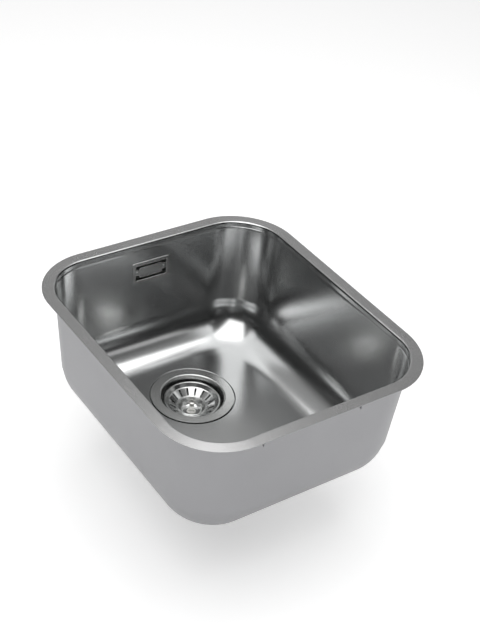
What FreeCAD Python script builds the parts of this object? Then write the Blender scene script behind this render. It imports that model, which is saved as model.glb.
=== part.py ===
"""Undermount kitchen sink: a pressed steel bowl with its basket strainer waste and its overflow.

The origin is the centre of the rim's top plane, which is the face that meets the worktop.
+Z is up, X runs along the short side and +Y points at the rear wall, which holds the overflow.
All lengths are in millimetres and all angles in degrees.
"""
import FreeCAD, Part
import math
import os

import Sketcher
from FreeCAD import Placement, Rotation, Vector

SIZES = [
    # the pressed bowl
    ("opening_width", 340.0, "opening, left to right"),
    ("opening_length", 395.0, "opening, front to back"),
    ("opening_corner", 67.0, "plan radius of the opening's corners"),
    ("rim_width", 17.0, "flat rim round the opening"),
    ("rim_edge", 3.0, "rolled radius where the rim turns down"),
    ("sheet", 1.0, "thickness of the pressed steel"),
    ("neck_depth", 8.0, "upright collar under the rim"),
    ("neck_step", 0.8, "set-in of the wall under the collar"),
    ("wall_draft", 3.5, "slope of the four walls"),
    ("bowl_depth", 175.0, "rim plane to the inside of the bottom"),
    ("base_corner", 66.0, "plan radius of the walls' corners at the bottom"),
    ("base_radius", 56.0, "inside radius between walls and bottom"),
    ("waste_offset", 66.0, "waste axis behind the middle of the bowl"),
    ("drain_clearance", 0.8, "drain hole round the cup"),
    # brackets for the fixing clips
    ("lug_width", 33.0, "bracket from end to end"),
    ("lug_height", 9.0, "bracket from top to bottom"),
    ("lug_sheet", 1.2, "thickness of the bracket"),
    ("lug_slot", 11.0, "width of the slot for a clip"),
    ("lug_gap", 3.0, "depth of the slot for a clip"),
    ("lug_drop", 21.5, "rim plane to the bracket's lower edge"),
    ("front_lug_left", 76.0, "front and rear brackets, left of the middle"),
    ("front_lug_right", 66.0, "front and rear brackets, right of the middle"),
    ("side_lug", 61.0, "side brackets, in front of the middle"),
    # damping pad
    ("pad_width", 170.0, "damping pad, left to right"),
    ("pad_length", 112.0, "damping pad, front to back"),
    ("pad_corner", 18.0, "damping pad's corners"),
    ("pad_thickness", 2.0, "damping pad"),
    ("pad_gap", 8.0, "between the pad and the waste's seat"),
    # strainer cup
    ("flange_proud", 1.0, "flange above the bottom of the bowl"),
    ("cup_sheet", 1.0, "thickness of the cup"),
    ("cup_radius", 43.2, "inside of the cup at its mouth"),
    ("flange_width", 14.3, "cup's mouth to the flange's edge"),
    ("flange_clearance", 1.5, "recess round the waste flange"),
    ("cup_edge", 2.2, "rolled radius of the cup's mouth"),
    ("cup_taper", 2.0, "the cup's wall leans in above its cone"),
    ("waist_depth", 26.0, "flange to the top of the cone"),
    ("cup_cone", 14.2, "mouth of the cup to the edge of its flat floor"),
    ("cup_depth", 40.0, "flange to the floor of the cup"),
    ("well_radius", 8.5, "well for the screw's head"),
    ("well_depth", 9.0, "well below the floor of the cup"),
    ("drain_hole", 4.6, "radius of the holes in the cup's floor"),
    ("drain_hole_inset", 0.75, "those holes inside the middle of the floor's ring"),
    ("drain_hole_count", 8.0, "number of those holes"),
    # gaskets
    ("flange_gasket_thickness", 1.8, "gasket under the flange"),
    ("under_gasket_thickness", 3.0, "gasket under the bowl"),
    ("gasket_clearance", 1.0, "gaskets' bores over the drain hole"),
    # waste body
    ("body_ring_width", 9.5, "clamping ring of the waste body"),
    ("body_ring_height", 5.0, "height of that ring"),
    ("body_clearance", 2.3, "inside of the waste body round the cup"),
    ("body_wall", 3.5, "wall of the waste body"),
    ("body_depth", 41.0, "flange to the top of the body's cone"),
    ("cone_depth", 25.0, "height of the body's cone"),
    ("outlet_radius", 23.9, "outside of the outlet's thread"),
    ("outlet_bore", 20.5, "inside of the outlet"),
    ("outlet_length", 32.0, "outlet's threaded length"),
    ("boss_radius", 8.5, "boss for the threaded insert"),
    ("boss_length", 24.0, "length of that boss"),
    ("boss_gap", 0.5, "between the cup's well and the boss"),
    ("arm_thickness", 3.5, "arms that carry the boss"),
    ("arm_height", 11.0, "height of the arms"),
    ("arm_count", 4.0, "number of arms"),
    ("inlet_radius", 15.5, "outside of the overflow inlet"),
    ("inlet_bore", 12.0, "inside of the overflow inlet"),
    ("inlet_length", 22.0, "waste body's wall to the inlet's mouth"),
    ("inlet_depth", 26.0, "flange to the inlet's axis"),
    # centre screw and its insert
    ("screw_radius", 4.0, "centre screw's shank"),
    ("screw_length", 24.0, "centre screw under its head"),
    ("head_radius", 6.5, "centre screw's head"),
    ("head_height", 6.5, "centre screw's head"),
    ("socket_depth", 12.5, "depth of that socket"),
    ("insert_radius", 6.0, "threaded insert"),
    ("insert_length", 16.0, "threaded insert"),
    ("thread_clearance", 0.05, "round a shank in its thread"),
    # basket
    ("basket_sheet", 0.7, "thickness of the basket"),
    ("basket_room", 5.2, "between the basket's edge and the cup's mouth"),
    ("basket_drop", 7.1, "flange to the top of the basket, as raised"),
    ("basket_bead", 2.6, "height of the rolled edge"),
    ("basket_brim", 6.2, "edge of the basket to its slotted cone"),
    ("shoulder_depth", 12.2, "flange to that end"),
    ("slot_run", 9.6, "width of the slotted cone"),
    ("valley_depth", 20.6, "flange to that end"),
    ("groove_width", 2.0, "slotted cone to the raised ring"),
    ("ridge_depth", 19.3, "flange to the raised ring"),
    ("dish_slope", 5.7, "raised ring to the floor of the dish"),
    ("dish_depth", 29.0, "flange to the floor of the dish"),
    ("slot_count", 16.0, "slots in the basket"),
    ("slot_turn", 3.0, "angle of the first slot"),
    ("slot_width", 2.4, "width of a slot"),
    ("knob_base", 5.9, "foot of the knob"),
    ("knob_neck", 3.1, "neck of the knob"),
    ("knob_cap", 5.3, "cap of the knob"),
    ("knob_height", 17.8, "knob above the dish's floor"),
    ("stem_radius", 1.9, "stem of the basket"),
    ("stem_clearance", 0.1, "round the stem"),
    ("stem_reach", 16.0, "stem below the dish's floor"),
    ("collar_radius", 4.0, "collar on the stem"),
    ("collar_height", 1.5, "collar on the stem"),
    ("seal_overlap", 2.3, "seal of the basket over the cup's flat floor"),
    ("seal_thickness", 2.5, "seal of the basket"),
    ("seal_taper", 2.0, "slope of the seal's edge"),
    ("washer_radius", 18.0, "washer under the seal"),
    ("washer_thickness", 0.8, "washer under the seal"),
    ("catch_radius", 2.4, "spring ring on the stem"),
    ("catch_wire", 0.95, "section of the spring ring"),
    ("catch_clearance", 0.05, "between the ring and its groove"),
    ("catch_slit", 50.0, "angle left open in the spring ring"),
    # overflow
    ("overflow_offset", 2.0, "overflow to the right of the waste's plane"),
    ("overflow_depth", 44.6, "rim plane to the middle of the overflow"),
    ("frame_width", 59.0, "overflow frame"),
    ("frame_height", 33.6, "overflow frame"),
    ("frame_thickness", 1.3, "overflow frame's front"),
    ("frame_corner", 2.5, "overflow frame's corners"),
    ("mouth_width", 48.6, "mouth of the frame"),
    ("mouth_height", 22.4, "mouth of the frame"),
    ("mouth_corner", 1.5, "mouth's corners"),
    ("lip_thickness", 0.9, "lip that passes through the wall"),
    ("lip_length", 2.6, "length of that lip"),
    ("lip_clearance", 0.3, "round the lip"),
    ("ear_width", 6.6, "ears inside the lip"),
    ("ear_height", 9.0, "ears inside the lip"),
    ("ear_thickness", 0.8, "ears inside the lip"),
    ("plate_width", 36.2, "cover plate of the overflow"),
    ("plate_height", 15.6, "cover plate of the overflow"),
    ("plate_thickness", 1.0, "cover plate of the overflow"),
    ("plate_proud", 0.5, "cover plate in front of the wall"),
    ("tongue_height", 8.0, "tongues that hold the plate"),
    ("fixing_pitch", 42.2, "between the two overflow screws"),
    ("fixing_radius", 1.5, "overflow screws"),
    ("fixing_length", 14.0, "overflow screws under their heads"),
    ("fixing_head", 2.7, "overflow screws' heads"),
    ("fixing_head_height", 1.8, "overflow screws' heads"),
    ("nut_radius", 2.6, "inserts of the overflow screws"),
    ("nut_length", 8.0, "inserts of the overflow screws"),
    ("overflow_gasket_thickness", 2.0, "gasket behind the wall"),
    ("gasket_land", 6.0, "width of that gasket round the hole"),
    ("gasket_corner", 4.0, "corners of that gasket"),
    ("housing_flange", 2.5, "thickness of the housing's flange"),
    ("housing_wall", 2.0, "wall of the housing"),
    ("housing_margin", 2.6, "housing's cavity outside the wall's hole"),
    ("housing_depth", 24.0, "depth of the housing"),
    ("housing_corner", 5.0, "corners of the housing"),
    ("spigot_back", 16.0, "spigot's axis behind the wall's inner face"),
    ("spigot_radius", 9.2, "outside of the spigot"),
    ("spigot_wall", 1.8, "wall of the spigot"),
    ("spigot_length", 18.0, "length of the spigot"),
    # overflow pipe
    ("pipe_bore", 9.4, "inside of the ribbed pipe"),
    ("pipe_cuff", 11.4, "outside of its plain ends"),
    ("pipe_root", 10.6, "outside between its ribs"),
    ("pipe_crest", 12.5, "outside of its ribs"),
    ("cuff_length", 23.0, "length of its plain ends"),
    ("rib_pitch", 4.4, "from rib to rib"),
    ("pipe_bend", 40.0, "radius of its bend"),
    ("pipe_insertion", 12.0, "pipe inside the inlet"),
    ("seat_gap", 0.3, "between pieces that seat loosely"),
    ("clamp_thickness", 1.4, "spring clamp on the upper cuff"),
    ("clamp_height", 9.0, "spring clamp"),
    ("clamp_slit", 6.0, "gap between the clamp's ears"),
    ("clamp_ear", 7.0, "clamp's ears outside the band"),
    ("ring_nut_wall", 2.6, "wall of the ring nut"),
    ("ring_nut_skirt", 10.0, "ring nut over the inlet"),
    ("ring_nut_end", 2.5, "end wall of the ring nut"),
    ("ring_nut_grips", 12.0, "grips on the ring nut"),
    ("grip_size", 1.4, "grips on the ring nut"),
    ("pipe_seal_thickness", 4.0, "seal between the pipe and the inlet"),
]

doc = FreeCAD.newDocument("undermount_sink")
sizes = doc.addObject("Spreadsheet::Sheet", "Sizes")
for row, (alias, number, note) in enumerate(SIZES, start=1):
    sizes.set(f"A{row}", note)
    sizes.set(f"B{row}", str(number))
    sizes.setAlias(f"B{row}", alias)
doc.recompute()

pieces = []


def size(alias):
    """The number that the sheet holds under this name."""
    return float(sizes.get(alias))


def value(expression):
    """The number that an expression on the sheet comes to."""
    result = sizes.evalExpression(str(expression))
    return float(getattr(result, "Value", result))


def of(alias):
    """A size as it is written in an expression."""
    return "Sizes." + alias


def piece(obj, label):
    """Label a finished sub-part, which is also the name of its file."""
    obj.Label = label
    pieces.append(obj)
    return obj


# ---------------------------------------------------------------- helpers for sketches


def body(name):
    return doc.addObject("PartDesign::Body", name)


def sketch_on(owner, name, plane, offset="0"):
    """A sketch on one of the body's own planes, moved along that plane's normal."""
    sketch = owner.newObject("Sketcher::SketchObject", name)
    origin_plane = [f for f in owner.Origin.OriginFeatures if f.Role == plane][0]
    sketch.AttachmentSupport = [(origin_plane, "")]
    sketch.MapMode = "FlatFace"
    if offset != "0":
        sketch.setExpression("AttachmentOffset.Base.z", offset)
    return sketch


def bind(sketch, kind, references, expression):
    """Add a driving dimension and bind it to an expression on the sheet."""
    index = sketch.addConstraint(Sketcher.Constraint(kind, *references, value(expression)))
    sketch.setExpression(f"Constraints[{index}]", str(expression))


def pin_point(sketch, geometry, point, across, up):
    """Hold one point of a sketch at a place given by two expressions."""
    for kind, axis, expression in (("DistanceX", -2, across), ("DistanceY", -1, up)):
        if str(expression) == "0":
            sketch.addConstraint(Sketcher.Constraint("PointOnObject", geometry, point, axis))
        else:
            bind(sketch, kind, (-1, 1, geometry, point), expression)


def polygon(owner, name, plane, points, offset="0"):
    """A closed outline whose corners are pairs of expressions."""
    sketch = sketch_on(owner, name, plane, offset)
    spots = [Vector(value(across), value(up), 0) for across, up in points]
    count = len(spots)
    for i in range(count):
        sketch.addGeometry(Part.LineSegment(spots[i], spots[(i + 1) % count]), False)
    for i in range(count):
        sketch.addConstraint(Sketcher.Constraint("Coincident", i, 2, (i + 1) % count, 1))
    for i, (across, up) in enumerate(points):
        pin_point(sketch, i, 1, across, up)
    return sketch


def circle(owner, name, plane, radius, offset="0", across="0", up="0"):
    sketch = sketch_on(owner, name, plane, offset)
    centre = Vector(value(across), value(up), 0)
    sketch.addGeometry(Part.Circle(centre, Vector(0, 0, 1), value(radius)), False)
    pin_point(sketch, 0, 3, across, up)
    bind(sketch, "Radius", (0,), radius)
    return sketch


def rounded_rectangle(owner, name, plane, half_across, half_up, corner, offset="0", across="0", up="0"):
    """A rectangle with round corners: four sides and four arcs, tangent all round."""
    sketch = sketch_on(owner, name, plane, offset)
    a, b, r = value(half_across), value(half_up), value(corner)
    x, y = value(across), value(up)
    quarter = math.pi / 2
    corners = [(a - r, r - b, -1), (a - r, b - r, 0), (r - a, b - r, 1), (r - a, r - b, 2)]
    sides = [
        (Vector(x + r - a, y - b, 0), Vector(x + a - r, y - b, 0)),
        (Vector(x + a, y + r - b, 0), Vector(x + a, y + b - r, 0)),
        (Vector(x + a - r, y + b, 0), Vector(x + r - a, y + b, 0)),
        (Vector(x - a, y + b - r, 0), Vector(x - a, y + r - b, 0)),
    ]
    for (start, end), (cx, cy, turn) in zip(sides, corners):
        sketch.addGeometry(Part.LineSegment(start, end), False)
        round_corner = Part.Circle(Vector(x + cx, y + cy, 0), Vector(0, 0, 1), r)
        sketch.addGeometry(Part.ArcOfCircle(round_corner, turn * quarter, (turn + 1) * quarter), False)
    for i in range(0, 8, 2):
        sketch.addConstraint(Sketcher.Constraint("Tangent", i, 2, i + 1, 1))
        sketch.addConstraint(Sketcher.Constraint("Tangent", i + 1, 2, (i + 2) % 8, 1))
        sketch.addConstraint(Sketcher.Constraint("Horizontal" if i % 4 == 0 else "Vertical", i))
    for i in (3, 5, 7):
        sketch.addConstraint(Sketcher.Constraint("Equal", 1, i))
    bind(sketch, "Radius", (1,), corner)
    bind(sketch, "DistanceY", (-1, 1, 0, 1), f"{up} - ({half_up})")
    bind(sketch, "DistanceX", (-1, 1, 2, 1), f"{across} + ({half_across})")
    bind(sketch, "DistanceY", (-1, 1, 4, 1), f"{up} + ({half_up})")
    bind(sketch, "DistanceX", (-1, 1, 6, 1), f"{across} - ({half_across})")
    return sketch


# ---------------------------------------------------------------- helpers for features


def extrude(owner, name, kind, sketch, length, reverse=False):
    """A Pad or a Pocket; a Pad leaves along the sketch's normal and a Pocket goes against it."""
    before = owner.Shape.Volume if owner.Tip else 0.0
    feature = owner.newObject("PartDesign::" + kind, name)
    feature.Profile = sketch
    feature.setExpression("Length", str(length))
    feature.Reversed = reverse
    doc.recompute()
    grown = owner.Shape.Volume - before
    if (grown <= 0) if kind == "Pad" else (grown >= 0):
        raise RuntimeError(f"{owner.Name}: {name} changes nothing")
    return feature


def revolve(owner, name, sketch, axis="V_Axis", cut=False):
    feature = owner.newObject("PartDesign::Groove" if cut else "PartDesign::Revolution", name)
    feature.Profile = sketch
    feature.ReferenceAxis = (sketch, [axis])
    feature.Angle = 360
    doc.recompute()
    return feature


def loft(owner, name, kind, first, last):
    feature = owner.newObject("PartDesign::" + kind, name)
    feature.Profile = first
    feature.Sections = [last]
    feature.Ruled = True
    doc.recompute()
    return feature


def polar(owner, name, original, axis, count):
    """Repeat a feature round one of the body's own axes."""
    feature = owner.newObject("PartDesign::PolarPattern", name)
    feature.Originals = [original]
    origin_axis = [f for f in owner.Origin.OriginFeatures if f.Role == axis][0]
    feature.Axis = (origin_axis, [""])
    feature.Angle = 360
    feature.setExpression("Occurrences", count)
    owner.Tip = feature
    doc.recompute()
    return feature


def soften(owner, name, kind, amount, chosen):
    """Fillet or chamfer every edge of the body that a test chooses."""
    base = owner.Tip
    names = [f"Edge{i}" for i, edge in enumerate(base.Shape.Edges, start=1) if chosen(edge)]
    if not names:
        raise RuntimeError(f"{owner.Name}: {name} finds no edge")
    feature = owner.newObject("PartDesign::" + kind, name)
    feature.Base = (base, names)
    feature.setExpression("Radius" if kind == "Fillet" else "Size", str(amount))
    doc.recompute()
    return feature


def level(edge, height):
    """True for an edge that lies flat at this height."""
    box = edge.BoundBox
    return abs(box.ZMin - height) < 0.01 and abs(box.ZMax - height) < 0.01


def ring_edge(edge, radius, height):
    """True for a full circle round the Z axis with this radius and height."""
    curve = edge.Curve
    return isinstance(curve, Part.Circle) and abs(curve.Radius - radius) < 0.01 and level(edge, height)


def place(obj, placement):
    obj.Placement = placement
    return obj


def bind_place(obj, across="0", along="0", up="0"):
    """Bind an object's place to expressions on the sheet."""
    obj.setExpression("Placement.Base.x", across)
    obj.setExpression("Placement.Base.y", along)
    obj.setExpression("Placement.Base.z", up)
    return obj


def flat_ring(label, outer, inner, thickness, up):
    """A flat washer or gasket on the waste's axis, its lower face at the height given."""
    disc = doc.addObject("Part::Cylinder", label + "_disc")
    bore = doc.addObject("Part::Cylinder", label + "_bore")
    for solid, radius in ((disc, outer), (bore, inner)):
        solid.setExpression("Radius", radius)
        solid.setExpression("Height", thickness)
        bind_place(solid, "0", of("waste_offset"), up)
    ring = doc.addObject("Part::Cut", label)
    ring.Base = disc
    ring.Tool = bore
    return piece(ring, label)


def sheet_of_revolution(corners, thickness):
    """A pressed sheet turned round Z: its upper side runs through corners (radius, height, bend radius)."""
    edges = []
    last = Vector(corners[0][0], 0, corners[0][1])
    for before, here, after in zip(corners, corners[1:], corners[2:]):
        corner = Vector(here[0], 0, here[1])
        back = (Vector(before[0], 0, before[1]) - corner).normalize()
        ahead = (Vector(after[0], 0, after[1]) - corner).normalize()
        half = back.getAngle(ahead) / 2
        run = here[2] / math.tan(half)
        start, end = corner + back * run, corner + ahead * run
        inward = (back + ahead).normalize()
        middle = corner + inward * (here[2] / math.sin(half) - here[2])
        edges += [Part.makeLine(last, start), Part.Arc(start, middle, end).toShape()]
        last = end
    edges.append(Part.makeLine(last, Vector(corners[-1][0], 0, corners[-1][1])))
    upper = Part.Wire(edges)
    lower = upper.makeOffset2D(thickness, join=0, fill=False, openResult=True)
    if lower.CenterOfMass.z > upper.CenterOfMass.z:
        lower = upper.makeOffset2D(-thickness, join=0, fill=False, openResult=True)
    ends = [Part.makeLine(upper.OrderedVertexes[i].Point, nearest(lower, upper.OrderedVertexes[i].Point)) for i in (0, -1)]
    outline = Part.Wire(Part.__sortEdges__(upper.Edges + lower.Edges + ends))
    return Part.Face(outline).revolve(Vector(0, 0, 0), Vector(0, 0, 1), 360)


def nearest(wire, point):
    """The end of an open wire that lies nearer to a point."""
    return min((wire.OrderedVertexes[i].Point for i in (0, -1)), key=lambda end: end.distanceToPoint(point))


def spread(shape, count):
    """Copies of a shape at equal steps round Z."""
    copies = [shape.copy() for _ in range(count)]
    for step, copy in enumerate(copies):
        copy.rotate(Vector(0, 0, 0), Vector(0, 0, 1), step * 360 / count)
    return Part.makeCompound(copies)


# ---------------------------------------------------------------- places that pieces share

RIM_EXTRA = "Sizes.rim_width"
WALL_SHEET = "Sizes.sheet / cos(Sizes.wall_draft)"
WALL_TOP_X = "Sizes.opening_width / 2 - Sizes.neck_step"
WALL_TOP_Y = "Sizes.opening_length / 2 - Sizes.neck_step"
FLANGE_TOP = "-Sizes.bowl_depth + Sizes.flange_proud"
DRAIN_RADIUS = "(Sizes.cup_radius + Sizes.cup_sheet + Sizes.drain_clearance)"
FLANGE_RADIUS = "(Sizes.cup_radius + Sizes.flange_width)"
SEAT_RADIUS = f"({FLANGE_RADIUS} + Sizes.flange_clearance)"
CUP_WAIST = "(Sizes.cup_radius - Sizes.cup_taper)"
CUP_FLOOR = "(Sizes.cup_radius - Sizes.cup_cone)"
HOLE_CIRCLE = f"(({CUP_FLOOR} + Sizes.well_radius) / 2 - Sizes.drain_hole_inset)"
BODY_BORE = "(Sizes.cup_radius + Sizes.cup_sheet + Sizes.body_clearance)"
INLET_REACH = f"({BODY_BORE} + Sizes.body_wall + Sizes.inlet_length)"
BODY_RING = f"({BODY_BORE} + Sizes.body_ring_width)"
BASKET_RADIUS = "(Sizes.cup_radius - Sizes.basket_room)"
SHOULDER_RADIUS = f"({BASKET_RADIUS} - Sizes.basket_brim)"
VALLEY_RADIUS = f"({SHOULDER_RADIUS} - Sizes.slot_run)"
RIDGE_RADIUS = f"({VALLEY_RADIUS} - Sizes.groove_width)"
DISH_RADIUS = f"({RIDGE_RADIUS} - Sizes.dish_slope)"
SEAL_RADIUS = f"({CUP_FLOOR} + Sizes.seal_overlap)"
SEAT_DEPTH = "Sizes.cup_sheet + Sizes.flange_gasket_thickness - Sizes.flange_proud"
UNDER_SEAT = "Sizes.cup_sheet + Sizes.flange_gasket_thickness + Sizes.sheet"
BODY_TOP = UNDER_SEAT + " + Sizes.under_gasket_thickness"
WELL_BOTTOM = "Sizes.cup_depth + Sizes.well_depth"
BOSS_TOP = WELL_BOTTOM + " + Sizes.cup_sheet + Sizes.boss_gap"
CONE_BOTTOM = "Sizes.body_depth + Sizes.cone_depth"
DISH_UNDER = "Sizes.dish_depth + Sizes.basket_sheet"
SEAL_UNDER = DISH_UNDER + " + Sizes.seal_thickness"
WASHER_UNDER = SEAL_UNDER + " + Sizes.washer_thickness"
CATCH_HEIGHT = "Sizes.dish_depth + Sizes.stem_reach - 1.6 * Sizes.catch_wire"
HOLE_HALF_X = "Sizes.mouth_width / 2 + Sizes.lip_thickness + Sizes.lip_clearance"
HOLE_HALF_Z = "Sizes.mouth_height / 2 + Sizes.lip_thickness + Sizes.lip_clearance"
GASKET_BACK = "Sizes.sheet + Sizes.overflow_gasket_thickness"
SHELL_HALF_X = HOLE_HALF_X + " + Sizes.housing_margin + Sizes.housing_wall"
SHELL_HALF_Z = HOLE_HALF_Z + " + Sizes.housing_margin + Sizes.housing_wall"
SPIGOT_TOP = SHELL_HALF_Z
FLANGE_LOW = HOLE_HALF_Z + " + Sizes.gasket_land"
SOCKET = "Sizes.catch_radius + Sizes.thread_clearance"


def wall_run(height):
    """How far the wall has leaned in at this height below the rim plane."""
    return (height - size("neck_depth")) * math.tan(math.radians(size("wall_draft")))


def overflow_placement():
    """The frame of the overflow: on the rear wall's inner face, Y out through the wall, Z up along it."""
    depth = size("overflow_depth")
    along = value(WALL_TOP_Y) - wall_run(depth)
    lean = Rotation(Vector(1, 0, 0), -size("wall_draft"))
    return Placement(Vector(size("overflow_offset"), along, -depth), lean)


def waste_placement(up="0"):
    """A place on the waste's axis, measured down from the top of the flange."""
    return Placement(Vector(0, size("waste_offset"), value(FLANGE_TOP) + value(up)), Rotation())


# ---------------------------------------------------------------- the bowl and what is fixed to it


def make_bowl():
    """The pressed bowl: flat rim, collar, drafted walls, round bottom, seat and holes."""
    bowl = body("bowl")
    half_x, half_y = "Sizes.opening_width / 2", "Sizes.opening_length / 2"
    rim = rounded_rectangle(
        bowl, "rim_outline", "XY_Plane", f"{half_x} + {RIM_EXTRA}", f"{half_y} + {RIM_EXTRA}",
        "Sizes.opening_corner + " + RIM_EXTRA)
    extrude(bowl, "rim", "Pad", rim, of("sheet"), reverse=True)
    collar = rounded_rectangle(
        bowl, "collar_outline", "XY_Plane", half_x + " + Sizes.sheet", half_y + " + Sizes.sheet",
        "Sizes.opening_corner + Sizes.sheet")
    extrude(bowl, "collar", "Pad", collar, of("neck_depth"), reverse=True)
    for name, kind, grow, extra in (
            ("outside", "AdditiveLoft", WALL_SHEET, "Sizes.sheet"), ("inside", "SubtractiveLoft", "0", "0")):
        run = f"(Sizes.bowl_depth + {extra} - Sizes.neck_depth) * tan(Sizes.wall_draft)"
        if kind == "SubtractiveLoft":
            opening = rounded_rectangle(bowl, "opening", "XY_Plane", half_x, half_y, of("opening_corner"))
            extrude(bowl, "throat", "Pocket", opening, of("neck_depth"))
        top = rounded_rectangle(
            bowl, name + "_top", "XY_Plane", f"{WALL_TOP_X} + {grow}", f"{WALL_TOP_Y} + {grow}",
            f"Sizes.opening_corner - Sizes.neck_step + {grow}", "-Sizes.neck_depth")
        bottom = rounded_rectangle(
            bowl, name + "_bottom", "XY_Plane", f"{WALL_TOP_X} - {run} + {grow}",
            f"{WALL_TOP_Y} - {run} + {grow}", f"Sizes.base_corner + {grow}", f"-Sizes.bowl_depth - {extra}")
        loft(bowl, name, kind, top, bottom)
    for name, grow in (("inside", "0"), ("outside", "Sizes.sheet")):
        base_level = -size("bowl_depth") - value(grow)
        soften(bowl, name + "_base", "Fillet", f"Sizes.base_radius + {grow}",
               lambda edge, low=base_level: level(edge, low))
    along = of("waste_offset")
    boss = circle(bowl, "seat_outside", "XY_Plane", f"{SEAT_RADIUS} + Sizes.sheet",
                  "-Sizes.bowl_depth - Sizes.sheet", "0", along)
    extrude(bowl, "seat_boss", "Pad", boss, SEAT_DEPTH, reverse=True)
    seat = circle(bowl, "seat_inside", "XY_Plane", SEAT_RADIUS, "-Sizes.bowl_depth", "0", along)
    extrude(bowl, "seat", "Pocket", seat, SEAT_DEPTH)
    drain = circle(bowl, "drain_outline", "XY_Plane", DRAIN_RADIUS, "-Sizes.bowl_depth", "0", along)
    extrude(bowl, "drain", "Pocket", drain, f"{SEAT_DEPTH} + 2 * Sizes.sheet")
    mouth = rounded_rectangle(
        bowl, "overflow_outline", "XZ_Plane", HOLE_HALF_X, HOLE_HALF_Z, "Sizes.mouth_corner + Sizes.lip_thickness",
        "-Sizes.opening_length / 2 + Sizes.rim_width", of("overflow_offset"), "-Sizes.overflow_depth")
    extrude(bowl, "overflow_hole", "Pocket", mouth, "2 * Sizes.rim_width")

    def rim_inner(edge):
        return level(edge, 0) and edge.BoundBox.XLength < size("opening_width") and all(
            abs(v.X) < size("opening_width") / 2 + 0.1 and abs(v.Y) < size("opening_length") / 2 + 0.1
            for v in edge.Vertexes)

    def rim_under(edge):
        return level(edge, -size("sheet")) and all(
            abs(v.X) < size("opening_width") / 2 + size("sheet") + 0.1
            and abs(v.Y) < size("opening_length") / 2 + size("sheet") + 0.1 for v in edge.Vertexes)

    soften(bowl, "rim_roll", "Fillet", of("rim_edge"), rim_inner)
    soften(bowl, "rim_root", "Fillet", "Sizes.rim_edge - Sizes.sheet", rim_under)
    return piece(bowl, "bowl")


def make_clip_lugs():
    """Bridge brackets, spot-welded under the rim, that the fixing clips slide into."""
    half, slot, gap, thick = (
        "Sizes.lug_width / 2", "Sizes.lug_slot / 2", of("lug_gap"), of("lug_sheet"))
    middle = size("lug_drop") - size("lug_height") / 2
    lean = size("wall_draft")
    out_y = value(WALL_TOP_Y) + value(WALL_SHEET) - wall_run(middle)
    out_x = value(WALL_TOP_X) + value(WALL_SHEET) - wall_run(middle)
    left, right, side = size("front_lug_left"), size("front_lug_right"), size("side_lug")
    spots = [
        (-left, -out_y, 180), (right, -out_y, 180), (-left, out_y, 0), (right, out_y, 0),
        (-out_x, -side, 90), (out_x, -side, -90)]
    lugs = []
    for number, (x, y, turn) in enumerate(spots, start=1):
        lug = body(f"lug_{number}")
        outline = polygon(lug, f"lug_outline_{number}", "XY_Plane", [
            ("-" + half, "0"), ("-" + slot, "0"), ("-" + slot, gap), (slot, gap), (slot, "0"), (half, "0"),
            (half, thick), (f"{slot} + {thick}", thick), (f"{slot} + {thick}", f"{gap} + {thick}"),
            (f"-{slot} - {thick}", f"{gap} + {thick}"), (f"-{slot} - {thick}", thick), ("-" + half, thick)],
            "-Sizes.lug_height / 2")
        extrude(lug, f"lug_strap_{number}", "Pad", outline, of("lug_height"))
        turned = Rotation(Vector(0, 0, 1), turn).multiply(Rotation(Vector(1, 0, 0), -lean))
        lugs.append(place(lug, Placement(Vector(x, y, -middle), turned)))
    group = doc.addObject("Part::Compound", "clip_lugs")
    group.Links = lugs
    return piece(group, "clip_lugs")


def make_sound_pad():
    """The damping pad that is glued under the flat of the bottom, in front of the waste."""
    pad = body("sound_pad")
    centre = f"Sizes.waste_offset - {SEAT_RADIUS} - Sizes.sheet - Sizes.pad_gap - Sizes.pad_length / 2"
    outline = rounded_rectangle(
        pad, "pad_outline", "XY_Plane", "Sizes.pad_width / 2", "Sizes.pad_length / 2", of("pad_corner"),
        "-Sizes.bowl_depth - Sizes.sheet", "0", centre)
    extrude(pad, "pad_sheet", "Pad", outline, of("pad_thickness"), reverse=True)
    return piece(pad, "sound_pad")


# ---------------------------------------------------------------- the waste


def make_strainer_cup():
    """The pressed cup: flange, rolled mouth, tapered wall, cone, floor with holes, and well."""
    cup = doc.addObject("Part::Feature", "strainer_cup")
    edge, floor_level = size("cup_edge"), -size("cup_depth")
    bore = size("screw_radius") + size("thread_clearance") * 4
    shape = sheet_of_revolution([
        (value(FLANGE_RADIUS), 0, 0),
        (size("cup_radius"), 0, edge),
        (value(CUP_WAIST), -size("waist_depth"), 3 * edge),
        (value(CUP_FLOOR), floor_level, 2 * edge),
        (size("well_radius"), floor_level, edge / 2),
        (size("well_radius"), -value(WELL_BOTTOM), edge / 2),
        (bore, -value(WELL_BOTTOM), 0)], size("cup_sheet"))
    hole = Part.makeCylinder(
        size("drain_hole"), 3 * size("cup_sheet"),
        Vector(value(HOLE_CIRCLE), 0, floor_level - 2 * size("cup_sheet")))
    cup.Shape = shape.cut(spread(hole, int(size("drain_hole_count"))))
    place(cup, waste_placement())
    return piece(cup, "strainer_cup")


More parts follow.
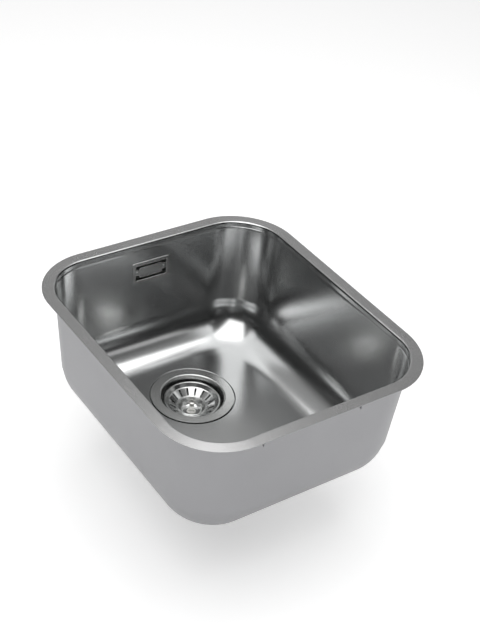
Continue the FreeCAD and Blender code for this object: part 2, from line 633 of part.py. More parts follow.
def make_waste_body():
    """The moulded body: clamping ring, cup, cone, outlet, spider with its boss, and inlet."""
    waste = body("waste_body")
    bore, wall = BODY_BORE, of("body_wall")
    outlet = CONE_BOTTOM + " + Sizes.outlet_length"
    profile = polygon(waste, "body_profile", "XZ_Plane", [
        (bore, f"-({BODY_TOP})"),
        (BODY_RING, f"-({BODY_TOP})"),
        (BODY_RING, f"-({BODY_TOP} + Sizes.body_ring_height)"),
        (f"{bore} + {wall}", f"-({BODY_TOP} + Sizes.body_ring_height)"),
        (f"{bore} + {wall}", f"-({of('body_depth')})"),
        (f"Sizes.outlet_radius + {wall} / 2", f"-({CONE_BOTTOM})"),
        (f"Sizes.outlet_radius + {wall} / 2", f"-({CONE_BOTTOM} + {wall} / 2)"),
        (of("outlet_radius"), f"-({CONE_BOTTOM} + {wall} / 2)"),
        (of("outlet_radius"), f"-({outlet})"),
        (of("outlet_bore"), f"-({outlet})"),
        (of("outlet_bore"), f"-({CONE_BOTTOM})"),
        (bore, f"-({of('body_depth')})")])
    revolve(waste, "body_shell", profile)
    boss = circle(waste, "boss_outline", "XY_Plane", of("boss_radius"), f"-({BOSS_TOP})")
    extrude(waste, "boss", "Pad", boss, of("boss_length"), reverse=True)
    arm = polygon(waste, "arm_outline", "XY_Plane", [
        ("Sizes.boss_radius / 2", "-Sizes.arm_thickness / 2"),
        ("Sizes.outlet_bore + Sizes.body_wall / 3", "-Sizes.arm_thickness / 2"),
        ("Sizes.outlet_bore + Sizes.body_wall / 3", "Sizes.arm_thickness / 2"),
        ("Sizes.boss_radius / 2", "Sizes.arm_thickness / 2")], f"-({CONE_BOTTOM})")
    first_arm = extrude(waste, "arm", "Pad", arm, of("arm_height"), reverse=True)
    polar(waste, "arms", first_arm, "Z_Axis", of("arm_count"))
    tube = circle(waste, "inlet_outline", "XZ_Plane", of("inlet_radius"), f"-{INLET_REACH}", "0", "-Sizes.inlet_depth")
    extrude(waste, "inlet", "Pad", tube, f"{INLET_REACH} - {bore} - {wall} / 2")
    through = circle(waste, "inlet_hole", "XZ_Plane", of("inlet_bore"), f"-{INLET_REACH}", "0", "-Sizes.inlet_depth")
    extrude(waste, "inlet_way", "Pocket", through, f"{INLET_REACH} - {bore} / 2", reverse=True)
    seat = circle(waste, "insert_seat", "XY_Plane", of("insert_radius"), f"-({BOSS_TOP} + Sizes.boss_length)")
    extrude(waste, "insert_hole", "Pocket", seat, of("insert_length"), reverse=True)
    bore_way = circle(waste, "screw_way", "XY_Plane", "Sizes.screw_radius + 4 * Sizes.thread_clearance", f"-({BOSS_TOP})")
    extrude(waste, "screw_hole", "Pocket", bore_way, of("boss_length"))
    bind_place(waste, "0", of("waste_offset"), FLANGE_TOP)
    return piece(waste, "waste_body")


def make_centre_screw():
    """The screw that pulls the cup and the body together; its head is the socket for the stem."""
    screw = body("centre_screw")
    seat = WELL_BOTTOM
    profile = polygon(screw, "screw_profile", "XZ_Plane", [
        ("0", f"-({seat} + Sizes.screw_length)"),
        (of("screw_radius"), f"-({seat} + Sizes.screw_length)"),
        (of("screw_radius"), f"-({seat})"),
        (of("head_radius"), f"-({seat})"),
        (of("head_radius"), f"-({seat}) + Sizes.head_height"),
        (SOCKET, f"-({seat}) + Sizes.head_height"),
        (SOCKET, f"-({seat}) + Sizes.head_height - Sizes.socket_depth"),
        ("0", f"-({seat}) + Sizes.head_height - Sizes.socket_depth")])
    revolve(screw, "screw_turned", profile)
    bind_place(screw, "0", of("waste_offset"), FLANGE_TOP)
    return piece(screw, "centre_screw")


def make_screw_insert():
    """The brass insert moulded into the boss."""
    length = of("insert_length")
    low = f"{FLANGE_TOP} - ({BOSS_TOP} + Sizes.boss_length)"
    return flat_ring("screw_insert", of("insert_radius"), "Sizes.screw_radius + Sizes.thread_clearance", length, low)


def make_gaskets():
    bore = f"{DRAIN_RADIUS} + Sizes.gasket_clearance"
    flat_ring("flange_gasket", f"{FLANGE_RADIUS} - Sizes.gasket_clearance", bore,
              of("flange_gasket_thickness"), f"{FLANGE_TOP} - Sizes.cup_sheet - Sizes.flange_gasket_thickness")
    flat_ring("under_gasket", BODY_RING, BODY_BORE, of("under_gasket_thickness"),
              f"{FLANGE_TOP} - ({BODY_TOP})")


# ---------------------------------------------------------------- the basket


def make_basket_shell():
    """The strainer basket: rolled edge, slotted cone, raised ring and dish, pressed from one sheet."""
    shell = doc.addObject("Part::Feature", "basket_shell")
    thick, top = size("basket_sheet"), -size("basket_drop")
    outer, bead = value(BASKET_RADIUS), size("basket_bead")
    shoulder, shoulder_level = value(SHOULDER_RADIUS), -size("shoulder_depth")
    valley, valley_level = value(VALLEY_RADIUS), -size("valley_depth")
    ridge, ridge_level = value(RIDGE_RADIUS), -size("ridge_depth")
    shape = sheet_of_revolution([
        (outer, top - bead, 0),
        (outer, top, bead / 2.4),
        (outer - bead, top, bead / 2.4),
        (shoulder + bead / 2, shoulder_level + thick / 2, thick),
        (shoulder, shoulder_level, thick),
        (valley, valley_level, thick),
        (ridge + thick, ridge_level - thick, thick / 2),
        (ridge, ridge_level, thick / 2),
        (ridge - 2 * thick, ridge_level, thick),
        (value(DISH_RADIUS), -size("dish_depth"), thick),
        (size("stem_radius") + size("stem_clearance"), -size("dish_depth"), 0)], thick)
    slot = Part.makeBox(
        shoulder - valley, size("slot_width"), size("valley_depth") - size("shoulder_depth") + 4 * thick,
        Vector(valley + thick / 2, -size("slot_width") / 2, valley_level - 2 * thick))
    slot.rotate(Vector(0, 0, 0), Vector(0, 0, 1), size("slot_turn"))
    shell.Shape = shape.cut(spread(slot, int(size("slot_count"))))
    place(shell, waste_placement())
    return piece(shell, "basket_shell")


def make_basket_knob():
    """The spool-shaped knob that stands in the dish."""
    knob = body("basket_knob")
    foot, top = "-Sizes.dish_depth", "-Sizes.dish_depth + Sizes.knob_height"
    bore = "Sizes.stem_radius + Sizes.thread_clearance"
    profile = polygon(knob, "knob_profile", "XZ_Plane", [
        (bore, foot),
        (of("knob_base"), foot),
        (of("knob_base"), f"{foot} + 0.06 * Sizes.knob_height"),
        (of("knob_neck"), f"{foot} + 0.3 * Sizes.knob_height"),
        (of("knob_neck"), f"{foot} + 0.76 * Sizes.knob_height"),
        (of("knob_cap"), f"{foot} + 0.86 * Sizes.knob_height"),
        (of("knob_cap"), f"{top} - 0.06 * Sizes.knob_height"),
        ("0.8 * Sizes.knob_cap", top),
        ("0", top),
        ("0", f"{foot} + 0.7 * Sizes.knob_height"),
        (bore, f"{foot} + 0.7 * Sizes.knob_height")])
    revolve(knob, "knob_turned", profile)
    waist = value(f"{foot} + 0.3 * Sizes.knob_height")
    soften(knob, "knob_sweep", "Fillet", "0.3 * Sizes.knob_height",
           lambda edge: ring_edge(edge, size("knob_neck"), waist))
    bind_place(knob, "0", of("waste_offset"), FLANGE_TOP)
    return piece(knob, "basket_knob")


def make_basket_stem():
    """The stem: it holds knob, basket, seal and washer together and ends in the socket."""
    stem = body("basket_stem")
    groove = "Sizes.catch_radius - Sizes.catch_wire - Sizes.catch_clearance"
    half = "Sizes.catch_wire / 2 + Sizes.catch_clearance"
    tip = "-Sizes.dish_depth - Sizes.stem_reach"
    profile = polygon(stem, "stem_profile", "XZ_Plane", [
        ("0", tip),
        ("0.7 * Sizes.stem_radius", tip),
        (of("stem_radius"), f"{tip} + 0.4 * Sizes.stem_radius"),
        (of("stem_radius"), f"-({CATCH_HEIGHT}) - ({half})"),
        (groove, f"-({CATCH_HEIGHT}) - ({half})"),
        (groove, f"-({CATCH_HEIGHT}) + {half}"),
        (of("stem_radius"), f"-({CATCH_HEIGHT}) + {half}"),
        (of("stem_radius"), f"-({WASHER_UNDER}) - Sizes.collar_height"),
        (of("collar_radius"), f"-({WASHER_UNDER}) - Sizes.collar_height"),
        (of("collar_radius"), f"-({WASHER_UNDER})"),
        (of("stem_radius"), f"-({WASHER_UNDER})"),
        (of("stem_radius"), "-Sizes.dish_depth + 0.68 * Sizes.knob_height"),
        ("0", "-Sizes.dish_depth + 0.68 * Sizes.knob_height")])
    revolve(stem, "stem_turned", profile)
    bind_place(stem, "0", of("waste_offset"), FLANGE_TOP)
    return piece(stem, "basket_stem")


def make_basket_seal():
    """The rubber disc under the basket, its edge sloped like the cone that it closes on."""
    seal = body("basket_seal")
    bore = "Sizes.stem_radius + Sizes.stem_clearance"
    profile = polygon(seal, "seal_profile", "XZ_Plane", [
        (bore, f"-({SEAL_UNDER})"),
        (f"{SEAL_RADIUS} - Sizes.seal_taper", f"-({SEAL_UNDER})"),
        (SEAL_RADIUS, f"-({DISH_UNDER}) - 0.2 * Sizes.seal_thickness"),
        (SEAL_RADIUS, f"-({DISH_UNDER})"),
        (bore, f"-({DISH_UNDER})")])
    revolve(seal, "seal_moulded", profile)
    bind_place(seal, "0", of("waste_offset"), FLANGE_TOP)
    return piece(seal, "basket_seal")


def make_seal_washer():
    return flat_ring("seal_washer", of("washer_radius"), "Sizes.stem_radius + Sizes.stem_clearance",
                     of("washer_thickness"), f"{FLANGE_TOP} - ({WASHER_UNDER})")


def make_stem_catch():
    """The open spring ring in the stem's groove, which grips the socket of the centre screw."""
    catch = body("stem_catch")
    wire = of("catch_wire")
    profile = polygon(catch, "catch_profile", "XZ_Plane", [
        (f"Sizes.catch_radius - {wire}", f"-({CATCH_HEIGHT}) - {wire} / 2"),
        (of("catch_radius"), f"-({CATCH_HEIGHT}) - {wire} / 2"),
        (of("catch_radius"), f"-({CATCH_HEIGHT}) + {wire} / 2"),
        (f"Sizes.catch_radius - {wire}", f"-({CATCH_HEIGHT}) + {wire} / 2")])
    ring = revolve(catch, "catch_ring", profile)
    ring.setExpression("Angle", "360 - Sizes.catch_slit")
    doc.recompute()
    bind_place(catch, "0", of("waste_offset"), FLANGE_TOP)
    return piece(catch, "stem_catch")


# ---------------------------------------------------------------- the overflow


def make_overflow_frame():
    """The frame on the wall's inner face, with a lip through the wall and two ears for the screws."""
    frame = body("overflow_frame")
    mouth_x, mouth_z = "Sizes.mouth_width / 2", "Sizes.mouth_height / 2"
    front = rounded_rectangle(frame, "frame_outline", "XZ_Plane", "Sizes.frame_width / 2",
                              "Sizes.frame_height / 2", of("frame_corner"))
    extrude(frame, "front", "Pad", front, of("frame_thickness"))
    lip = rounded_rectangle(
        frame, "lip_outline", "XZ_Plane", mouth_x + " + Sizes.lip_thickness", mouth_z + " + Sizes.lip_thickness",
        "Sizes.mouth_corner + Sizes.lip_thickness")
    extrude(frame, "lip", "Pad", lip, of("lip_length"), reverse=True)
    mouth = rounded_rectangle(frame, "mouth_outline", "XZ_Plane", mouth_x, mouth_z, of("mouth_corner"),
                              of("frame_thickness"))
    extrude(frame, "mouth", "Pocket", mouth, "Sizes.frame_thickness + Sizes.lip_length")
    for side, sign in (("left", "-1"), ("right", "1")):
        centre = f"{sign} * ({mouth_x} + Sizes.lip_thickness / 2 - Sizes.ear_width / 2)"
        ear = rounded_rectangle(
            frame, f"{side}_ear_outline", "XZ_Plane", "Sizes.ear_width / 2", "Sizes.ear_height / 2",
            "Sizes.lip_thickness / 3", "-Sizes.lip_length", centre)
        extrude(frame, f"{side}_ear", "Pad", ear, of("ear_thickness"))
        hole = circle(frame, f"{side}_ear_hole_outline", "XZ_Plane", "Sizes.fixing_radius + Sizes.stem_clearance",
                      "-Sizes.lip_length + Sizes.ear_thickness", f"{sign} * Sizes.fixing_pitch / 2")
        extrude(frame, f"{side}_ear_hole", "Pocket", hole, of("ear_thickness"))
    place(frame, overflow_placement())
    return piece(frame, "overflow_frame")


def make_overflow_plate():
    """The cover plate with a tongue at each end, set back, that a screw holds to the frame's ear."""
    plate = body("overflow_plate")
    thick = of("plate_thickness")
    front = rounded_rectangle(plate, "plate_outline", "XZ_Plane", "Sizes.plate_width / 2", "Sizes.plate_height / 2",
                              of("mouth_corner"), "Sizes.plate_proud - " + thick)
    extrude(plate, "plate_front", "Pad", front, thick)
    tongue_back = "Sizes.lip_length - Sizes.ear_thickness"
    reach = "Sizes.mouth_width / 2 - Sizes.lip_clearance"
    inner = "Sizes.plate_width / 2 - " + thick
    strap = polygon(plate, "tongue_outline", "XY_Plane", [
        ("-(" + reach + ")", tongue_back), ("-(" + reach + ")", f"{tongue_back} - {thick}"),
        (f"-Sizes.plate_width / 2", f"{tongue_back} - {thick}"), ("-Sizes.plate_width / 2", "-Sizes.plate_proud + " + thick),
        ("-(" + inner + ")", "-Sizes.plate_proud + " + thick), ("-(" + inner + ")", tongue_back)],
        "-Sizes.tongue_height / 2")
    left = extrude(plate, "left_tongue", "Pad", strap, of("tongue_height"))
    mirrored = plate.newObject("PartDesign::Mirrored", "right_tongue")
    mirrored.Originals = [left]
    mirrored.MirrorPlane = ([f for f in plate.Origin.OriginFeatures if f.Role == "YZ_Plane"][0], [""])
    plate.Tip = mirrored
    doc.recompute()
    for side, sign in (("left", "-1"), ("right", "1")):
        hole = circle(plate, f"{side}_tongue_hole_outline", "XZ_Plane", "Sizes.fixing_radius + Sizes.stem_clearance",
                      f"-({tongue_back} - {thick})", f"{sign} * Sizes.fixing_pitch / 2")
        extrude(plate, f"{side}_tongue_hole", "Pocket", hole, thick)
    place(plate, overflow_placement())
    return piece(plate, "overflow_plate")


def fixing_spot(side, back):
    """A place on one overflow screw's axis, some way behind the wall's inner face."""
    local = Placement(Vector(side * size("fixing_pitch") / 2, back, 0), Rotation())
    return overflow_placement().multiply(local)


def make_overflow_screws():
    seat = size("lip_length") - size("ear_thickness") - size("plate_thickness")
    screws = []
    for side, word in ((-1, "left"), (1, "right")):
        screw = body(f"{word}_screw")
        profile = polygon(screw, f"{word}_screw_profile", "XY_Plane", [
            ("0", "-Sizes.fixing_head_height"),
            ("0.55 * Sizes.fixing_head", "-Sizes.fixing_head_height"),
            (of("fixing_head"), "-0.45 * Sizes.fixing_head_height"),
            (of("fixing_head"), "0"),
            (of("fixing_radius"), "0"),
            (of("fixing_radius"), of("fixing_length")),
            ("0", of("fixing_length"))])
        revolve(screw, f"{word}_screw_turned", profile)
        screws.append(place(screw, fixing_spot(side, seat)))
    group = doc.addObject("Part::Compound", "overflow_screws")
    group.Links = screws
    return piece(group, "overflow_screws")


def make_overflow_inserts():
    """The brass inserts that the two screws go into, one in each boss of the housing."""
    inserts = []
    for side, word in ((-1, "left"), (1, "right")):
        outer = doc.addObject("Part::Cylinder", f"{word}_insert_outer")
        inner = doc.addObject("Part::Cylinder", f"{word}_insert_thread")
        outer.setExpression("Radius", of("nut_radius"))
        inner.setExpression("Radius", "Sizes.fixing_radius + Sizes.thread_clearance")
        for solid in (outer, inner):
            solid.setExpression("Height", of("nut_length"))
        insert = doc.addObject("Part::Cut", f"{word}_insert")
        insert.Base = outer
        insert.Tool = inner
        turned = Placement(Vector(0, 0, 0), Rotation(Vector(1, 0, 0), -90))
        back = value(GASKET_BACK) + size("seat_gap")
        inserts.append(place(insert, fixing_spot(side, back).multiply(turned)))
    group = doc.addObject("Part::Compound", "overflow_inserts")
    group.Links = inserts
    return piece(group, "overflow_inserts")


def make_overflow_gasket():
    gasket = body("overflow_gasket")
    back = "-Sizes.sheet"
    outer = rounded_rectangle(gasket, "gasket_outline", "XZ_Plane", f"{HOLE_HALF_X} + Sizes.gasket_land",
                              f"{HOLE_HALF_Z} + Sizes.gasket_land", of("gasket_corner"), back)
    extrude(gasket, "gasket_sheet", "Pad", outer, of("overflow_gasket_thickness"), reverse=True)
    hole = rounded_rectangle(gasket, "gasket_hole_outline", "XZ_Plane", HOLE_HALF_X, HOLE_HALF_Z,
                             "Sizes.mouth_corner + Sizes.lip_thickness", back)
    extrude(gasket, "gasket_hole", "Pocket", hole, of("overflow_gasket_thickness"))
    place(gasket, overflow_placement())
    return piece(gasket, "overflow_gasket")


def make_overflow_housing():
    """The moulded housing behind the wall: flange, box, bosses for the inserts, and spigot."""
    housing = body("overflow_housing")
    front = f"-({GASKET_BACK})"
    flange = rounded_rectangle(housing, "flange_outline", "XZ_Plane", f"{HOLE_HALF_X} + Sizes.gasket_land",
                               f"{HOLE_HALF_Z} + Sizes.gasket_land", of("gasket_corner"), front)
    extrude(housing, "flange", "Pad", flange, of("housing_flange"), reverse=True)
    shell = rounded_rectangle(housing, "shell_outline", "XZ_Plane", SHELL_HALF_X, SHELL_HALF_Z,
                              of("housing_corner"), front)
    extrude(housing, "shell", "Pad", shell, of("housing_depth"), reverse=True)
    back_level = value(GASKET_BACK) + size("housing_depth")
    soften(housing, "back_round", "Fillet", "0.6 * Sizes.housing_corner",
           lambda edge: abs(edge.BoundBox.YMin - back_level) < 0.01 and abs(edge.BoundBox.YMax - back_level) < 0.01)
    across = "-Sizes.overflow_offset"
    spigot = circle(housing, "spigot_outline", "XY_Plane", of("spigot_radius"),
                    f"-({SPIGOT_TOP}) + Sizes.housing_wall / 2", across, of("spigot_back"))
    extrude(housing, "spigot", "Pad", spigot, "Sizes.spigot_length + Sizes.housing_wall / 2", reverse=True)
    cavity = rounded_rectangle(
        housing, "cavity_outline", "XZ_Plane", f"{SHELL_HALF_X} - Sizes.housing_wall",
        f"{SHELL_HALF_Z} - Sizes.housing_wall", "Sizes.housing_corner - Sizes.housing_wall", front)
    extrude(housing, "cavity", "Pocket", cavity, "Sizes.housing_depth - Sizes.housing_wall")
    for side, sign in (("left", "-1"), ("right", "1")):
        spot = f"{sign} * Sizes.fixing_pitch / 2"
        boss = circle(housing, f"{side}_boss_outline", "XZ_Plane", "Sizes.nut_radius + 0.8 * Sizes.housing_wall",
                      f"-({GASKET_BACK} + Sizes.seat_gap)", spot)
        extrude(housing, f"{side}_boss", "Pad", boss, "Sizes.housing_depth - Sizes.housing_wall / 2", reverse=True)
        hole = circle(housing, f"{side}_boss_hole_outline", "XZ_Plane", of("nut_radius"),
                      f"-({GASKET_BACK} + Sizes.seat_gap)", spot)
        extrude(housing, f"{side}_boss_hole", "Pocket", hole, of("nut_length"))
        way = circle(housing, f"{side}_screw_way_outline", "XZ_Plane", "Sizes.fixing_radius + Sizes.stem_clearance",
                     f"-({GASKET_BACK} + Sizes.seat_gap)", spot)
        extrude(housing, f"{side}_screw_way", "Pocket", way, "Sizes.fixing_length")
    way_out = circle(housing, "spigot_bore_outline", "XY_Plane", "Sizes.spigot_radius - Sizes.spigot_wall",
                     f"-({SPIGOT_TOP} + Sizes.spigot_length)", across, of("spigot_back"))
    extrude(housing, "spigot_bore", "Pocket", way_out, "Sizes.spigot_length + 2 * Sizes.housing_wall", reverse=True)
    place(housing, overflow_placement())
    return piece(housing, "overflow_housing")


def pipe_route():
    """The pipe's centre line: its upper end, the corner where its two runs would meet, and its lower end."""
    spot = Vector(-size("overflow_offset"), size("spigot_back"), -value(FLANGE_LOW) - size("seat_gap"))
    upper = overflow_placement().multVec(spot)
    low = value(FLANGE_TOP) - size("inlet_depth")
    lean = math.tan(math.radians(size("wall_draft")))
    corner = Vector(upper.x, upper.y - lean * (upper.z - low), low)
    lower = Vector(upper.x, size("waste_offset") + value(INLET_REACH) - size("pipe_insertion"), low)
    return upper, corner, lower


def station(distance):
    """The point and direction of the pipe's centre line, this far from its upper end."""
    upper, corner, lower = pipe_route()
    down, along = (corner - upper).normalize(), (lower - corner).normalize()
    bend = size("pipe_bend")
    turn = down.getAngle(along)
    cut = bend * math.tan(turn / 2)
    first = (corner - upper).Length - cut
    if distance <= first:
        return upper + down * distance, down
    start = corner - down * cut
    if distance < first + bend * turn:
        swing = Rotation(Vector(1, 0, 0), -math.degrees((distance - first) / bend))
        centre = start + Rotation(Vector(1, 0, 0), -90).multVec(down) * bend
        return centre + swing.multVec(start - centre), swing.multVec(down)
    return corner + along * (cut + distance - first - bend * turn), along


def pipe_length():
    upper, corner, lower = pipe_route()
    turn = (corner - upper).getAngle(lower - corner)
    bend = size("pipe_bend")
    return (corner - upper).Length + (lower - corner).Length + bend * (turn - 2 * math.tan(turn / 2))


def hoop(distance, radius):
    """A circle square to the pipe's centre line, its X axis kept steady."""
    point, direction = station(distance)
    side = Vector(1, 0, 0)
    edge = Part.Circle(Vector(0, 0, 0), Vector(0, 0, 1), radius).toShape()
    edge.Placement = Placement(point, Rotation(side, direction.cross(side), direction, "ZXY"))
    return Part.Wire([edge])


def make_overflow_pipe():
    """The ribbed pipe from the overflow to the waste: plain cuffs, ribs between, one bore."""
    pipe = doc.addObject("Part::Feature", "overflow_pipe")
    root, crest, cuff = size("pipe_root"), size("pipe_crest"), size("pipe_cuff")
    length, plain = pipe_length(), size("cuff_length")
    count = int((length - 2 * plain) / size("rib_pitch"))
    pitch = (length - 2 * plain) / count
    outside = [hoop(0, cuff), hoop(plain, cuff)]
    inside = [hoop(0, size("pipe_bore")), hoop(plain, size("pipe_bore"))]
    for rib in range(count):
        start = plain + rib * pitch
        for share, radius in ((0.12, root), (0.3, crest), (0.7, crest), (0.88, root)):
            outside.append(hoop(start + share * pitch, radius))
        inside.append(hoop(start + pitch / 2, size("pipe_bore")))
    outside += [hoop(length - plain, cuff), hoop(length, cuff)]
    inside += [hoop(length - plain, size("pipe_bore")), hoop(length, size("pipe_bore"))]
    skin = Part.makeLoft(outside, True, True)
    core = Part.makeLoft(inside, True, True)
    pipe.Shape = skin.cut(core)
    print(f"overflow_pipe: {length:.1f} mm on its centre line, {count} ribs, bend {size('pipe_bend'):.0f} mm")
    return piece(pipe, "overflow_pipe")


def make_pipe_clamp():
    """The spring clamp that grips the upper cuff on the spigot, with two ears to squeeze."""
    clamp = body("pipe_clamp")
    inner = "Sizes.pipe_cuff + Sizes.thread_clearance"
    outer = inner + " + Sizes.clamp_thickness"
    low = "-Sizes.clamp_height / 2"
    band = circle(clamp, "band_outline", "XY_Plane", outer, low)
    extrude(clamp, "band", "Pad", band, of("clamp_height"))
    wide = "Sizes.clamp_slit / 2 + Sizes.clamp_thickness"
    ears = polygon(clamp, "ears_outline", "XY_Plane", [
        ("Sizes.pipe_cuff", "-(" + wide + ")"), (f"{outer} + Sizes.clamp_ear", "-(" + wide + ")"),
        (f"{outer} + Sizes.clamp_ear", wide), ("Sizes.pipe_cuff", wide)], low)
    extrude(clamp, "ears", "Pad", ears, of("clamp_height"))
    slit = polygon(clamp, "slit_outline", "XY_Plane", [
        ("Sizes.pipe_bore", "-Sizes.clamp_slit / 2"), (f"{outer} + 2 * Sizes.clamp_ear", "-Sizes.clamp_slit / 2"),
        (f"{outer} + 2 * Sizes.clamp_ear", "Sizes.clamp_slit / 2"), ("Sizes.pipe_bore", "Sizes.clamp_slit / 2")],
        "Sizes.clamp_height / 2")
    extrude(clamp, "slit", "Pocket", slit, of("clamp_height"))
    hole = circle(clamp, "band_hole", "XY_Plane", inner, "Sizes.clamp_height / 2")
    extrude(clamp, "bore", "Pocket", hole, of("clamp_height"))
    drop = value(FLANGE_LOW) + size("spigot_length") / 2 + size("seat_gap")
    spot = Placement(Vector(-size("overflow_offset"), size("spigot_back"), -drop), Rotation())
    place(clamp, overflow_placement().multiply(spot))
    return piece(clamp, "pipe_clamp")


def inlet_placement():
    """The frame of the inlet's mouth: Z runs out of it, towards the rear."""
    mouth = Vector(0, size("waste_offset") + value(INLET_REACH), value(FLANGE_TOP) - size("inlet_depth"))
    return Placement(mouth, Rotation(Vector(1, 0, 0), -90))


def make_pipe_seal():
    """The tapered rubber seal between the inlet's mouth and the pipe's lower cuff."""
    seal = body("pipe_seal")
    inner = "Sizes.pipe_cuff + Sizes.thread_clearance"
    profile = polygon(seal, "pipe_seal_profile", "XZ_Plane", [
        (inner, "0"), (of("inlet_radius"), "0"), (of("inlet_radius"), "0.4 * Sizes.pipe_seal_thickness"),
        (f"({inner} + Sizes.inlet_radius) / 2", of("pipe_seal_thickness")), (inner, of("pipe_seal_thickness"))])
    revolve(seal, "pipe_seal_moulded", profile)
    place(seal, inlet_placement())
    return piece(seal, "pipe_seal")


def make_ring_nut():
    """The ring nut that presses the seal onto the inlet, with grips round its skirt."""
    nut = body("ring_nut")
    inner = "Sizes.inlet_radius + Sizes.stem_clearance"
    outer = inner + " + Sizes.ring_nut_wall"
    front = of("pipe_seal_thickness")
    profile = polygon(nut, "ring_nut_profile", "XZ_Plane", [
        (inner, "-Sizes.ring_nut_skirt"), (outer, "-Sizes.ring_nut_skirt"),
        (outer, f"{front} + Sizes.ring_nut_end"),
        ("Sizes.pipe_cuff + Sizes.seat_gap", f"{front} + Sizes.ring_nut_end"),
        ("Sizes.pipe_cuff + Sizes.seat_gap", front), (inner, front)])
    revolve(nut, "ring_nut_shell", profile)
    grip = polygon(nut, "grip_outline", "XY_Plane", [
        (f"{outer} - Sizes.ring_nut_wall / 2", "-Sizes.grip_size"), (f"{outer} + Sizes.grip_size", "-Sizes.grip_size / 2"),
        (f"{outer} + Sizes.grip_size", "Sizes.grip_size / 2"), (f"{outer} - Sizes.ring_nut_wall / 2", "Sizes.grip_size")],
        "-Sizes.ring_nut_skirt")
    first = extrude(nut, "grip", "Pad", grip, "Sizes.ring_nut_skirt + Sizes.pipe_seal_thickness")
    polar(nut, "grips", first, "Z_Axis", of("ring_nut_grips"))
    place(nut, inlet_placement())
    return piece(nut, "ring_nut")


MAKERS = [
    make_bowl, make_clip_lugs, make_sound_pad, make_strainer_cup, make_gaskets, make_waste_body,
    make_centre_screw, make_screw_insert, make_basket_shell, make_basket_knob, make_basket_stem,
    make_basket_seal, make_seal_washer, make_stem_catch, make_overflow_frame, make_overflow_plate,
    make_overflow_screws, make_overflow_inserts, make_overflow_gasket, make_overflow_housing,
    make_overflow_pipe, make_pipe_clamp, make_pipe_seal, make_ring_nut]

for make in MAKERS:
    make()
doc.recompute()

faults = [o.Name for o in doc.Objects if "Invalid" in o.State or "Error" in o.State]
for part in pieces:
    if part.Shape.isNull() or not part.Shape.isValid() or not part.Shape.Solids:
        faults.append(part.Label)
if faults:
    raise RuntimeError("these objects failed: " + ", ".join(faults))

os.makedirs("parts", exist_ok=True)
for part in pieces:
    part.Shape.exportStep(f"parts/{part.Label}.step")
    print(f"{part.Label}: {len(part.Shape.Solids)} solid, {part.Shape.Volume:.0f} mm3")
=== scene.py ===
"""Looks of an undermount kitchen sink, laid out as an add-on: pressed bowl, basket waste and overflow."""

import math

import bmesh
import bpy
from bpy.props import FloatProperty, FloatVectorProperty, IntProperty, PointerProperty
from mathutils import Matrix, Vector


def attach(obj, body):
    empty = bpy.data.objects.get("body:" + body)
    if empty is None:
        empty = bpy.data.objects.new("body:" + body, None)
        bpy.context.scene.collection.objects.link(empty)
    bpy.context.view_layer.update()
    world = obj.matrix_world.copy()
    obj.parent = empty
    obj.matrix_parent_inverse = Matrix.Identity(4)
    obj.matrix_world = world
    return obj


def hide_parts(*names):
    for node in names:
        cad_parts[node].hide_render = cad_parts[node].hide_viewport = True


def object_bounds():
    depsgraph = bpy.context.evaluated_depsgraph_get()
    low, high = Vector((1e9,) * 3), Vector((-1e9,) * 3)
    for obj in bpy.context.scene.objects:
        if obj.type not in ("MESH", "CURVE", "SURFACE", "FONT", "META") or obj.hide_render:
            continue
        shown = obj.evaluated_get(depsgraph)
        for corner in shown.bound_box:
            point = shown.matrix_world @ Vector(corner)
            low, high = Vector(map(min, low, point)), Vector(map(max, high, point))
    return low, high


bl_info = {
    "name": "Undermount kitchen sink",
    "version": (1, 0, 0),
    "blender": (4, 5, 0),
    "location": "3D View > Sidebar > Sink",
    "description": "Builds a pressed steel sink bowl with its basket waste and overflow",
    "category": "Add Mesh",
}

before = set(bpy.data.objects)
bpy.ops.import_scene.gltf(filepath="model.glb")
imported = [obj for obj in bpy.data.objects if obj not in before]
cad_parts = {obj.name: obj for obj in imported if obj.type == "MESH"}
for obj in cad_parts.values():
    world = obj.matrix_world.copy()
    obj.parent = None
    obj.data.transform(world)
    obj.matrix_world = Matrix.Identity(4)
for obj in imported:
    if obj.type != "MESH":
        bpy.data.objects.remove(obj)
CAD_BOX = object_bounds()
MM = 0.001


# ---------------- sizes and colours


def length(name, description, millimetres):
    """A length property whose default is given in millimetres."""
    return FloatProperty(name=name, description=description, default=millimetres * MM, min=0.0, precision=5,
                         unit="LENGTH", subtype="DISTANCE")


def slope(name, description, degrees):
    """An angle property whose default is given in degrees."""
    return FloatProperty(name=name, description=description, default=math.radians(degrees), subtype="ANGLE")


def count(name, description, default):
    """A number of like things round a circle."""
    return IntProperty(name=name, description=description, default=default, min=3)


def linear(code):
    """An sRGB hex colour as linear red, green and blue."""
    parts = [int(code[i:i + 2], 16) / 255 for i in (1, 3, 5)]
    return [p / 12.92 if p <= 0.04045 else ((p + 0.055) / 1.055) ** 2.4 for p in parts]


def colour(name, description, code):
    """A colour property whose default is given as an sRGB hex value."""
    return FloatVectorProperty(name=name, description=description, default=linear(code), min=0.0, max=1.0,
                               size=3, subtype="COLOR")


